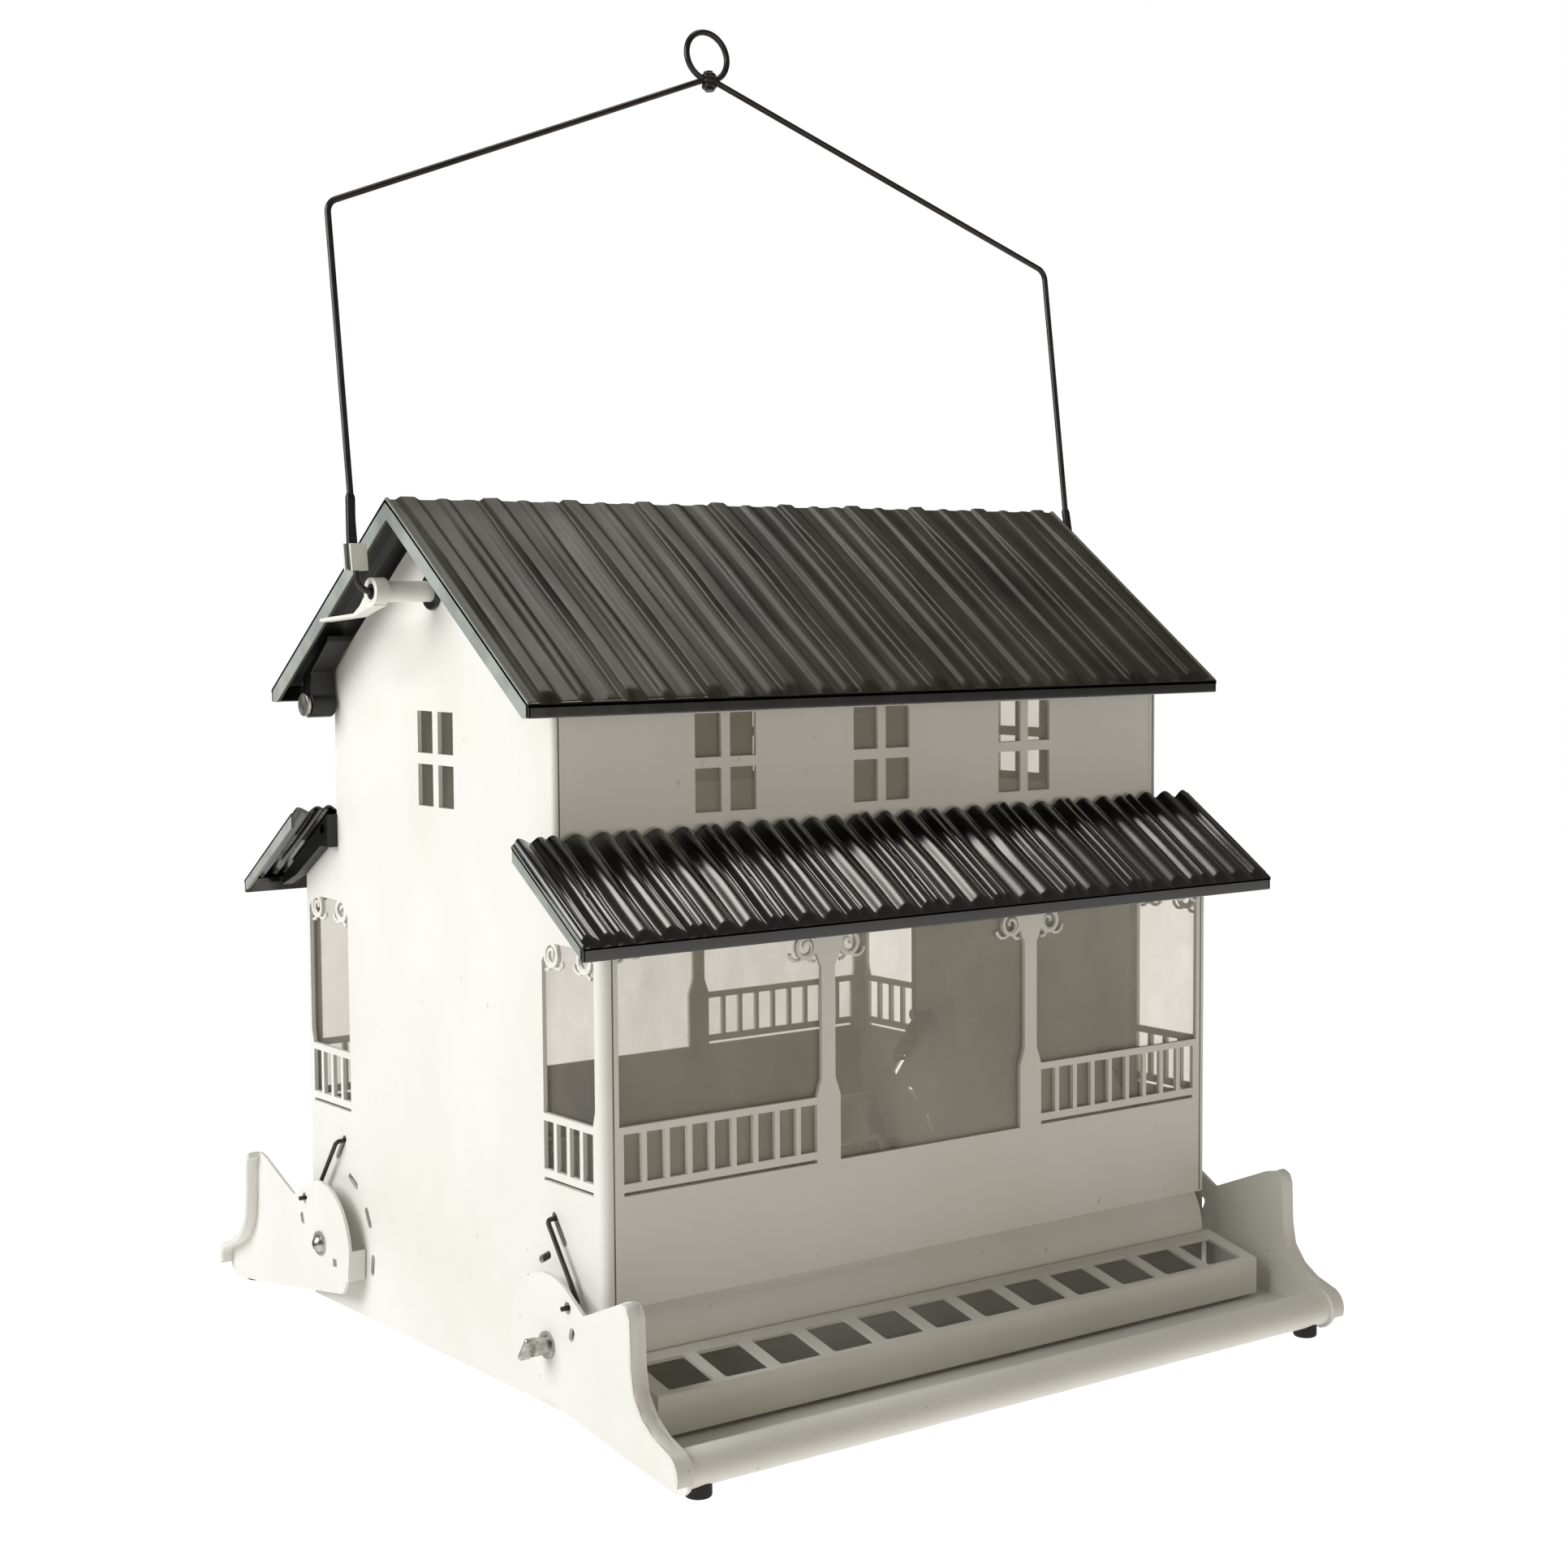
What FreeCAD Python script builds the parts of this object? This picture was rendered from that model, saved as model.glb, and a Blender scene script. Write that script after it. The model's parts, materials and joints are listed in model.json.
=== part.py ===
"""Hanging bird feeder shaped like a two-storey farmhouse, in millimetres.

X runs along the ridge, -Y is the front, +Z is up.  Everything is built with z = 0 at the
bottom edge of the gable walls and y = 0 under the ridge; export() then moves each piece so
that the row's origin is the centre of the hanging loop.
"""
import FreeCAD, Part
import math
import os

Vector = FreeCAD.Vector

# ---------------------------------------------------------------- driving dimensions
# overall
wall_length = 265.4          # outer face of one gable wall to the other
upper_half_depth = 75.8      # outer face of the upper walls from the middle
lower_half_depth = 102.8     # outer face of the porch walls from the middle
sheet = 1.5                  # wall sheet
thin_sheet = 1.2             # trays, end plates, gates and floor
pane_sheet = 1.0             # clear panes
fit_gap = 0.3                # between pieces that only lie near each other
turning_gap = 0.08           # radial clearance of a pin or shaft in its hole
moving_gap = 0.5             # between pieces that pass each other
fold_radius = 3.5            # outer radius of the gables' folded corners at the porches
upper_fold_inner = 0.3       # inner radius of the sharper folds at the upper walls
fold_reach = 3.9             # folded corner's end, from the gable's outer face
half_length = wall_length / 2
wall_inner = half_length - sheet
fold_inner = half_length - fold_reach
upper_fold_radius = sheet + upper_fold_inner

# main roof
roof_overhang = 17.3         # past each gable
roof_length = wall_length + 2 * roof_overhang
eave_overhang = 14.2         # past the upper walls
roof_half_width = upper_half_depth + eave_overhang
ridge_height = 293.3
roof_slope = 0.7311          # fall per unit of depth
roof_shell = 4.0             # depth from rib crest to underside, measured upright
roof_rake_depth = 7.6        # folded end edge, measured upright
roof_eave_depth = 4.8        # folded eave edge, measured upright
roof_rim_thickness = 1.4

# porch roofs
porch_roof_overhang = 16.6
porch_roof_length = wall_length + 2 * porch_roof_overhang
porch_top_gap = 1.9          # upper wall to the porch roof's top edge
porch_top_depth = upper_half_depth + porch_top_gap
porch_top_height = 183.2
porch_eave_overhang = 15.7   # past the porch walls
porch_eave_depth = lower_half_depth + porch_eave_overhang
porch_slope = 0.6765
porch_shell = 3.6
porch_rake_depth = 5.6
porch_eave_drop = 4.9
porch_rim_thickness = 1.4
under_roof_gap = 0.6         # top edge of a wall to the roof over it
clip_thickness = 4.2
clip_inner_depth = upper_half_depth - 1.8
clip_outer_depth = lower_half_depth + 9.2
clip_web = 12.0
clip_hole_radius = 1.9

# storeys
porch_wall_bottom = 38.0
railing_bottom = 73.5
slit_height = 1.2
bottom_rail_height = 2.6
baluster_height = 15.7
top_rail_height = 2.4
post_spacing = 89.4          # middle to middle of the two inner posts
pedestal_width = 9.8
shaft_width = 5.6
corner_pedestal = 6.0        # gable porch opening's edge, from the porch wall's face
corner_post_foot = 3.6       # front corner posts, from the folded corner's end
corner_post = 2.0
capital_height = 26.0
capital_flare = ((2.8, 8.0), (5.0, 13.0), (5.6, 18.0), (10.5, 23.5), (10.5, 26.0))
scroll_radius = 4.3
scroll_wire = 1.3
scroll_offset = 8.8
scroll_drop = 11.0
corner_bracket = 14.0        # reach of the bracket between corner shaft and beam
beam_height = 5.5            # beam over the porch openings
baluster_width = 1.9
baluster_count = 8
side_baluster_count = 3
side_opening_width = 29.3    # gable porch opening, along the gable
side_opening_inner = lower_half_depth - corner_pedestal - side_opening_width
side_beam_low = 150.5        # head of the gable porch opening
side_opening_flare = 1.4
upper_wall_low = 166.0       # upper wall's bottom edge, hidden under the porch roof

# windows
window_height = 205.3        # middle of every window
window_spacing = 66.0
pane_width = 10.4
pane_height = 14.4
glazing_bar = 3.7

pane_overlap = 3.0           # pane behind the sheet, past the opening
porch_pane_low = 43.0
porch_pane_drop = 8.2        # porch roof's rib crests down to the panes' top edge
porch_pane_high = porch_top_height - porch_slope * (lower_half_depth - porch_top_depth) - porch_pane_drop
gable_pane_low = 70.0

# seed floor, trays and ports
floor_height = 1.2
drain_radius = 2.0
drain_pitch_x = 34.0
drain_pitch_y = 30.0
baffle_apex = 42.0
baffle_foot = 3.0            # flat foot that lies on the tray's bottom
tray_overhang = 26.7         # past the porch wall
tray_tuck = 7.8              # under the porch wall
tray_outer_depth = lower_half_depth + tray_overhang
tray_inner_depth = lower_half_depth - tray_tuck
tray_bottom = 5.0
tray_lip_height = 18.0
tray_lip_round = 1.0
grid_slope = 0.235
port_count = 12
port_pitch = 21.3
port_width = 17.0
port_depth = 17.0
port_front_strip = 2.1
port_corner = 1.2

# perch frames (front and rear are mirror images)
pivot_inset = 22.8           # porch wall's outer face to the pivot
pivot_depth = lower_half_depth - pivot_inset
pivot_height = 24.0
pivot_shaft_radius = 3.0
plate_offset = 6.1           # clear gap between gable wall and end plate
plate_flange = 4.6
plate_top_depth = tray_outer_depth + 5.0     # tall rounded front corner
plate_top_height = 49.0
plate_corner = 4.0
plate_notch = (101.5, 38.0)    # between the sector and the tall front corner
sector_radius = 23.0
rail_depth = tray_outer_depth + 22.5
rail_height = 3.2
rail_radius = 6.0
rail_wall = 1.2
lobe_radius = 7.4
platform_inner_depth = pivot_depth + 30.0
gate_radius = 24.9           # outer face of the seed gate, about the pivot
gate_low_angle = -8.0
gate_high_angle = 62.0
gate_arm_inset = 6.0
perch_travel = 24.0          # degrees, perch pressed down
screw_radius = 1.5
screw_grip = 9.0             # length of screw inside the shaft
washer_radius = 4.4
washer_thickness = 0.8
pan_head_radius = 3.4
wing_turn = 35.0             # degrees, thumb screw's wing from upright
foot_radius = 4.2
foot_height = 4.0
foot_inset = 6.6

# links and springs
link_radius = 0.8
eye_radius = 1.9
eye_reach = 19.0             # pivot to eye
eye_angle = 50.0
link_length = 30.0
spring_radius = 2.4
spring_wire = 0.35
spring_hook = 1.2            # spring's end loop, from the link wire to the first coil
spring_length = 24.0
post_radius = 1.4
post_head_radius = 2.4
post_length = 7.4
slot_width = 2.6
setting_slot_reach = 27.5
setting_slot_length = 8.0
setting_slot_angles = (118.0, 152.0, 188.0)

# hanger
bar_height = 262.0
bar_radius = 3.5
bar_wall = 0.8
bar_overhang = 6.0           # past the rake of the main roof
bar_half_length = roof_length / 2 + bar_overhang
bar_plug_length = 14.0
grommet_wall = 1.6
bail_wire_radius = 1.1
bail_clearance = 4.5         # bar end to the middle of the bail's leg
bail_half_width = bar_half_length + bail_clearance
bail_shoulder = 130.0        # bar to the bend at the top of each leg
bail_peak = 190.0            # bar to the point where the two slopes meet the loop
bail_lean = 7.5              # degrees to the rear
bail_bend = 5.0
loop_radius = 9.0
wrap_pitch = 1.8             # turns of wire round the loop's neck
wrap_count = 3
sleeve_reach = 7.0           # bar to the lower end of the sleeve
sleeve_size = 6.0
sleeve_height = 9.0
boot_radius = 1.9
boot_length = 17.0

# roof hinge
hinge_inset = 0.8            # upper wall's outer face to the hinge line
hinge_depth = upper_half_depth - hinge_inset
hinge_height = 222.0
knuckle_radius = 4.7
knuckle_length = 9.2
hinge_pin_radius = 1.6
hinge_head_radius = 4.2
hinge_head_thickness = 1.4
hinge_wall_gap = 1.3         # gable wall to the knuckle

# ---------------------------------------------------------------- worked-out places
plate_inner = half_length + plate_offset
plate_outer = plate_inner + thin_sheet
top_rail_top = (railing_bottom + slit_height + bottom_rail_height + baluster_height
                + top_rail_height)
post_centre = post_spacing / 2
mid_angle = math.radians(eye_angle - perch_travel / 2)
link_direction = (math.sin(mid_angle), -math.cos(mid_angle))
eye_depth = pivot_depth + eye_reach * math.cos(math.radians(eye_angle))
eye_height = pivot_height + eye_reach * math.sin(math.radians(eye_angle))
link_travel = 2 * eye_reach * math.sin(math.radians(perch_travel / 2))
link_top_depth = eye_depth - link_direction[0] * link_length
link_top_height = eye_height - link_direction[1] * link_length
link_x = half_length + plate_offset / 2
spring_x = wall_inner - 1.4 - spring_radius
grid_inner_depth = pivot_depth + gate_radius + 0.7
loop_centre_reach = bail_peak + loop_radius
lean = math.radians(bail_lean)
origin_shift = Vector(0, -loop_centre_reach * math.sin(lean),
                      -(bar_height + loop_centre_reach * math.cos(lean)))


# ---------------------------------------------------------------- helpers
def export(name, shape):
    """Write one node, moved so that the origin is the middle of the hanging loop."""
    moved = shape.copy()
    moved.translate(origin_shift)
    moved.exportStep("parts/" + name + ".step")


def box(x0, x1, y0, y1, z0, z1):
    return Part.makeBox(x1 - x0, y1 - y0, z1 - z0, Vector(x0, y0, z0))


def rod_x(radius, x0, x1, y, z):
    """Round bar along X."""
    return Part.makeCylinder(radius, x1 - x0, Vector(x0, y, z), Vector(1, 0, 0))


def face_yz(points, x):
    """Flat face in a plane of constant x, from (y, z) points."""
    corners = [Vector(x, y, z) for y, z in points]
    return Part.Face(Part.makePolygon(corners + corners[:1]))


def slab_yz(points, x0, x1):
    return face_yz(points, x0).extrude(Vector(x1 - x0, 0, 0))


def slab_xz(points, y0, y1):
    corners = [Vector(x, y0, z) for x, z in points]
    return Part.Face(Part.makePolygon(corners + corners[:1])).extrude(Vector(0, y1 - y0, 0))


def rounded(shape, radius, picks):
    """Fillet the edges that picks() accepts."""
    edges = [edge for edge in shape.Edges if picks(edge)]
    return shape.makeFillet(radius, edges)


def along_x(edge):
    a, b = edge.Vertexes[0].Point, edge.Vertexes[-1].Point
    return abs(a.y - b.y) < 1e-6 and abs(a.z - b.z) < 1e-6 and abs(a.x - b.x) > 1e-6


def upright(edge):
    return abs(edge.Vertexes[0].Point.z - edge.Vertexes[-1].Point.z) > 1


def joined(shapes):
    """One solid from pieces that share faces or overlap."""
    result = shapes[0].multiFuse(shapes[1:]) if len(shapes) > 1 else shapes[0]
    result = result.removeSplitter()
    return result.Solids[0] if len(result.Solids) == 1 else result


def cut(shape, tools):
    result = shape.cut(Part.makeCompound(tools))
    return result.Solids[0] if len(result.Solids) == 1 else result


def to_right(shape):
    return shape.mirror(Vector(0, 0, 0), Vector(1, 0, 0))


def to_rear(shape):
    return shape.mirror(Vector(0, 0, 0), Vector(0, 1, 0))


def roof_top(depth):
    """Height of the main roof's rib crests at a distance from the middle."""
    return ridge_height - roof_slope * depth


def porch_top(depth):
    return porch_top_height - porch_slope * (depth - porch_top_depth)


def slot_x(depth, height, angle, length, width, x0, x1):
    """Round-ended slot cut through a plate of constant x; angle is in the (-y, z) plane."""
    radius = width / 2
    reach = length / 2 - radius
    dy = -math.cos(angle) * reach
    dz = math.sin(angle) * reach
    ends = [rod_x(radius, x0, x1, -depth + s * dy, height + s * dz) for s in (-1, 1)]
    ny, nz = -dz / reach * radius, dy / reach * radius
    middle = slab_yz([(-depth - dy - ny, height - dz - nz), (-depth + dy - ny, height + dz - nz),
                      (-depth + dy + ny, height + dz + nz), (-depth - dy + ny, height - dz + nz)],
                     x0, x1)
    return ends + [middle]


def window_cutters(centre, make_box):
    """Four panes of one window; make_box(across0, across1, z0, z1) makes each."""
    near = glazing_bar / 2
    panes = []
    for side in (-1, 1):
        for level in (-1, 1):
            across = sorted((centre + side * near, centre + side * (near + pane_width)))
            height = sorted((window_height + level * near,
                             window_height + level * (near + pane_height)))
            panes.append(make_box(across[0], across[1], height[0], height[1]))
    return panes


# ---------------------------------------------------------------- roofs
def main_roof():
    half = roof_length / 2
    eave = roof_half_width
    shell = [(-eave, roof_top(eave)), (0, ridge_height), (eave, roof_top(eave)),
             (eave, roof_top(eave) - roof_shell), (0, ridge_height - roof_shell),
             (-eave, roof_top(eave) - roof_shell)]
    rim = [(-eave, roof_top(eave)), (0, ridge_height), (eave, roof_top(eave)),
           (eave, roof_top(eave) - roof_rake_depth), (0, ridge_height - roof_rake_depth),
           (-eave, roof_top(eave) - roof_rake_depth)]
    pieces = [slab_yz(shell, -half, half)]
    for x0 in (-half, half - roof_rim_thickness):
        pieces.append(slab_yz(rim, x0, x0 + roof_rim_thickness))
    low = roof_top(eave) - roof_eave_depth
    for y0 in (-eave, eave - roof_rim_thickness):
        pieces.append(box(-half, half, y0, y0 + roof_rim_thickness, low, roof_top(eave) - 1))
    return joined(pieces)


def roof_underside(depth):
    return roof_top(depth) - roof_shell


def hinge_strap_left():
    """Knuckle barrel with the strap that carries it under the roof, at the left gable."""
    x1 = -half_length - hinge_wall_gap
    x0 = x1 - knuckle_length
    barrel = rod_x(knuckle_radius, x0, x1, hinge_depth, hinge_height)
    strap_half = 3.4
    lift = 1.2
    low = 58.0
    strap = slab_yz([(hinge_depth - strap_half, hinge_height),
                     (hinge_depth + strap_half, hinge_height),
                     (hinge_depth + strap_half, roof_underside(hinge_depth + strap_half)),
                     (low, roof_underside(low)),
                     (low, roof_underside(low) - lift - 1.0),
                     (hinge_depth - strap_half, roof_underside(hinge_depth) - lift)], x0, x1)
    bore = rod_x(hinge_pin_radius + turning_gap, x0 - 1, x1 + 1, hinge_depth, hinge_height)
    return cut(joined([barrel, strap]), [bore])


def hinge_pin_left():
    x_head = -half_length - hinge_wall_gap - knuckle_length - fit_gap
    pin = rod_x(hinge_pin_radius, x_head, -wall_inner, hinge_depth, hinge_height)
    head = rod_x(hinge_head_radius, x_head - hinge_head_thickness, x_head,
                 hinge_depth, hinge_height)
    return joined([pin, head])


def porch_roof_front():
    half = porch_roof_length / 2
    top, eave = porch_top_depth, porch_eave_depth
    shell = [(-top, porch_top(top)), (-eave, porch_top(eave)),
             (-eave, porch_top(eave) - porch_shell), (-top, porch_top(top) - porch_shell)]
    rim = [(-top, porch_top(top)), (-eave, porch_top(eave)),
           (-eave, porch_top(eave) - porch_rake_depth), (-top, porch_top(top) - porch_rake_depth)]
    pieces = [slab_yz(shell, -half, half)]
    for x0 in (-half, half - porch_rim_thickness):
        pieces.append(slab_yz(rim, x0, x0 + porch_rim_thickness))
    low = porch_top(eave) - porch_eave_drop
    pieces.append(box(-half, half, -eave, -eave + porch_rim_thickness, low,
                      porch_top(eave) - 1))
    return joined(pieces)


def porch_clips_front():
    """Brackets outside each gable that carry the ends of the porch roof."""
    inner, outer = clip_inner_depth, clip_outer_depth
    high = porch_top(inner) - porch_shell
    low = porch_top(outer) - porch_shell
    outline = [(-inner, high), (-outer, low), (-outer, low - 3.0), (-outer + clip_web, low + 1.6),
               (-inner - 6.0, high - clip_web), (-inner, high - clip_web)]
    plate = slab_yz(outline, -half_length - clip_thickness, -half_length)
    hole = rod_x(clip_hole_radius, -half_length - clip_thickness - 1, -half_length + 1,
                 -inner - 4.2, high - 5.4)
    return both_ends(cut(plate, [hole]))


# ---------------------------------------------------------------- walls
def gable_wall_left():
    x0, x1 = -half_length, -wall_inner
    under_main = roof_top(0) - roof_shell - under_roof_gap
    eave_top = roof_top(upper_half_depth) - roof_shell - under_roof_gap
    porch_low = porch_top(lower_half_depth) - porch_shell - under_roof_gap
    porch_high = porch_top(upper_half_depth) - porch_shell - under_roof_gap
    half_outline = [(lower_half_depth, 0), (lower_half_depth, porch_low),
                    (upper_half_depth, porch_high), (upper_half_depth, eave_top)]
    outline = ([(-y, z) for y, z in half_outline] + [(0, under_main)]
               + list(reversed(half_outline)))
    wall = folded_corners(slab_yz(outline, x0, x0 + fold_reach), porch_high)
    through0, through1 = x0 - 1, x1 + 1
    tools = window_cutters(0, lambda a0, a1, z0, z1: box(through0, through1, a0, a1, z0, z1))
    front_tools = []
    outer = lower_half_depth - corner_pedestal
    inner = side_opening_inner
    # porch opening above the rail
    flare = outer + side_opening_flare
    front_tools.append(slab_yz([(-inner, top_rail_top), (-outer, top_rail_top),
                                (-flare, top_rail_top + 5), (-flare, side_beam_low - 4.0),
                                (-flare + 4.0, side_beam_low), (-inner - 4.0, side_beam_low),
                                (-inner, side_beam_low - 6.0)], through0, through1))
    # gaps between the balusters
    gap = (outer - inner - side_baluster_count * baluster_width) / (side_baluster_count + 1)
    low = railing_bottom + slit_height + bottom_rail_height
    for i in range(side_baluster_count + 1):
        start = inner + i * (gap + baluster_width)
        front_tools.append(box(through0, through1, -start - gap, -start, low,
                               low + baluster_height))
    front_tools.append(box(through0, through1, -outer, -inner, railing_bottom,
                           railing_bottom + slit_height))
    # shaft hole, link slot and the three spring-setting slots
    front_tools.append(rod_x(pivot_shaft_radius + turning_gap, through0, through1,
                             -pivot_depth, pivot_height))
    slope_angle = math.atan2(link_direction[1], link_direction[0])
    middle = link_travel / 2
    front_tools += slot_x(link_top_depth + link_direction[0] * middle,
                          link_top_height + link_direction[1] * middle,
                          slope_angle, link_travel + 4.4, slot_width, through0, through1)
    for degrees in setting_slot_angles:
        turn = math.radians(degrees)
        front_tools += slot_x(pivot_depth + setting_slot_reach * math.cos(turn),
                              pivot_height + setting_slot_reach * math.sin(turn),
                              turn + math.pi / 2, setting_slot_length, slot_width,
                              through0, through1)
    tools += front_tools + [to_rear(tool) for tool in front_tools]
    tools.append(rod_x(bar_radius + grommet_wall, through0, through1, 0, bar_height))
    tools.append(rod_x(hinge_pin_radius, through0, through1, hinge_depth, hinge_height))
    ring_height = side_beam_low - scroll_radius + scroll_wire / 2
    scrolls = [ring_x(-across, ring_height, x0, x1)
               for across in (inner + scroll_radius + 1.0, outer - scroll_radius)]
    return joined([cut(wall, tools)] + scrolls + [to_rear(scroll) for scroll in scrolls])


def folded_corners(block, step_height):
    """Turn a thick gable into a sheet whose vertical edges are folded round on a radius.

    step_height is where the gable narrows from the porches to the upper walls.
    """
    x0 = -half_length
    top = ridge_height
    outer = joined([rounded_post(x0, lower_half_depth, -1, step_height, fold_radius),
                    rounded_post(x0, upper_half_depth, step_height, top, upper_fold_radius)])
    hollow = [rounded_post(x0 + sheet, lower_half_depth - sheet, -1, step_height,
                           fold_radius - sheet),
              rounded_post(x0 + sheet, upper_half_depth - sheet, step_height - 1, top,
                           upper_fold_inner),
              box(x0 + sheet, x0 + 2 * fold_reach, -lower_half_depth - 1, lower_half_depth + 1,
                  -1, porch_wall_bottom)]
    return cut(block.common(outer).Solids[0], hollow)


def rounded_post(x0, half_depth, z0, z1, radius):
    """Upright block across the house with its two outer vertical edges rounded."""
    block = box(x0, x0 + 2 * fold_reach, -half_depth, half_depth, z0, z1)
    return rounded(block, radius, lambda e: upright(e) and abs(e.Vertexes[0].Point.x - x0) < 1e-6)


def ring_x(y, z, x0, x1):
    """Scroll ring lying in a gable wall."""
    outer = rod_x(scroll_radius, x0, x1, y, z)
    return cut(outer, [rod_x(scroll_radius - scroll_wire, x0 - 1, x1 + 1, y, z)])


def upper_wall_front():
    y0, y1 = -upper_half_depth, -upper_half_depth + sheet
    top = roof_top(upper_half_depth) - roof_shell - under_roof_gap
    wall = box(-fold_inner, fold_inner, y0, y1, upper_wall_low, top)
    tools = []
    for centre in (-window_spacing, 0, window_spacing):
        tools += window_cutters(centre,
                                lambda a0, a1, z0, z1: box(a0, a1, y0 - 1, y1 + 1, z0, z1))
    return cut(wall, tools)


def ring_y(x, z, y0, y1):
    """Scroll ring lying in a porch wall."""
    outer = Part.makeCylinder(scroll_radius, y1 - y0, Vector(x, y0, z), Vector(0, 1, 0))
    inner = Part.makeCylinder(scroll_radius - scroll_wire, y1 - y0 + 2, Vector(x, y0 - 1, z),
                              Vector(0, 1, 0))
    return outer.cut(inner)


def capital(centre, y0, y1, top):
    """Flared post head with two scroll rings, lying in the porch wall."""
    neck = shaft_width / 2
    low = top - capital_height
    right_side = [(centre + across, low + up) for across, up in capital_flare]
    left_side = [(centre - across, low + up) for across, up in reversed(capital_flare)]
    outline = [(centre - neck, low), (centre + neck, low)] + right_side + left_side
    rings = [ring_y(centre + sign * scroll_offset, top - scroll_drop, y0, y1)
             for sign in (-1, 1)]
    return [slab_xz(outline, y0, y1)] + rings


def railing(x0, x1, y0, y1):
    """Bottom rail, balusters and top rail between two posts."""
    low = railing_bottom + slit_height
    foot = low + bottom_rail_height
    head = foot + baluster_height
    pieces = [box(x0, x1, y0, y1, low, foot), box(x0, x1, y0, y1, head, head + top_rail_height)]
    gap = (x1 - x0 - baluster_count * baluster_width) / (baluster_count + 1)
    for i in range(baluster_count):
        start = x0 + gap + i * (gap + baluster_width)
        pieces.append(box(start, start + baluster_width, y0, y1, foot, head))
    return pieces


def porch_wall_front():
    y0, y1 = -lower_half_depth, -lower_half_depth + sheet
    top = porch_top(lower_half_depth) - porch_shell - under_roof_gap
    beam_low = top - beam_height
    edge = fold_inner
    pieces = [box(-edge, edge, y0, y1, porch_wall_bottom, railing_bottom),
              box(-edge, edge, y0, y1, beam_low, top)]
    for sign in (-1, 1):
        centre = sign * post_centre
        pieces.append(box(centre - pedestal_width / 2, centre + pedestal_width / 2, y0, y1,
                          railing_bottom, top_rail_top))
        pieces.append(slab_xz([(centre - pedestal_width / 2, top_rail_top),
                               (centre + pedestal_width / 2, top_rail_top),
                               (centre + shaft_width / 2, top_rail_top + 6),
                               (centre - shaft_width / 2, top_rail_top + 6)], y0, y1))
        pieces.append(box(centre - shaft_width / 2, centre + shaft_width / 2, y0, y1,
                          top_rail_top, beam_low))
        pieces += capital(centre, y0, y1, beam_low)
        corner = sorted((sign * edge, sign * (edge - corner_post_foot)))
        pieces.append(box(corner[0], corner[1], y0, y1, railing_bottom, top_rail_top))
        shaft = sorted((sign * edge, sign * (edge - corner_post)))
        pieces.append(box(shaft[0], shaft[1], y0, y1, railing_bottom, beam_low))
        pieces.append(ring_y(sign * (edge - corner_post - scroll_radius + scroll_wire / 2),
                             beam_low - scroll_radius, y0, y1))
        pieces.append(slab_xz([(sign * edge, beam_low), (sign * (edge - corner_bracket), beam_low),
                               (sign * (edge - corner_bracket), beam_low - 2.0),
                               (sign * (edge - corner_post), beam_low - 3.4),
                               (sign * edge, beam_low - 3.4)], y0, y1))
        bay = sorted((sign * (post_centre + pedestal_width / 2),
                      sign * (edge - corner_post_foot)))
        pieces += railing(bay[0], bay[1], y0, y1)
    return joined(pieces)


# ---------------------------------------------------------------- panes
def window_panes_front():
    y0 = -upper_half_depth + sheet
    reach = window_spacing + glazing_bar / 2 + pane_width + pane_overlap
    rise = glazing_bar / 2 + pane_height + pane_overlap
    return box(-reach, reach, y0, y0 + pane_sheet, window_height - rise, window_height + rise)


def porch_panes_front():
    y1 = -lower_half_depth + sheet
    edge = half_length - fold_radius
    return box(-edge, edge, y1, y1 + pane_sheet, porch_pane_low, porch_pane_high)


def gable_window_pane_left():
    x0 = -wall_inner
    rise = glazing_bar / 2 + pane_height + pane_overlap
    reach = glazing_bar / 2 + pane_width + pane_overlap
    return box(x0, x0 + pane_sheet, -reach, reach, window_height - rise, window_height + rise)


def gable_porch_panes_left():
    """Two equal strips, one behind each porch opening of the gable wall."""
    x0 = -wall_inner
    inner = side_opening_inner - pane_overlap
    outer = lower_half_depth - fold_radius
    strip = box(x0, x0 + pane_sheet, -outer, -inner, gable_pane_low, porch_pane_high)
    return Part.makeCompound([strip, to_rear(strip)])


# ---------------------------------------------------------------- seed floor and trays
def floor_pan():
    reach = tray_inner_depth - fit_gap
    pan = box(-wall_inner, wall_inner, -reach, reach, floor_height, floor_height + thin_sheet)
    drains = []
    for i in range(-3, 4):
        for j in (-1, 0, 1):
            drains.append(Part.makeCylinder(
                drain_radius, thin_sheet + 2,
                Vector(i * drain_pitch_x, j * drain_pitch_y, floor_height - 1)))
    return cut(pan, drains)


def seed_baffle():
    """Inverted V that sheds the seed to both trays."""
    low = tray_bottom + thin_sheet
    high = low + thin_sheet
    depth = tray_inner_depth
    toe = depth + baffle_foot
    outline = [(-toe, high), (-depth, high), (0, baffle_apex), (depth, high), (toe, high),
               (toe, low), (depth, low), (0, baffle_apex - thin_sheet), (-depth, low),
               (-toe, low)]
    return slab_yz(outline, -wall_inner, wall_inner)


def grid_top(depth):
    """Height of the tray's port grid."""
    return tray_lip_height + grid_slope * (tray_outer_depth - depth)


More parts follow.
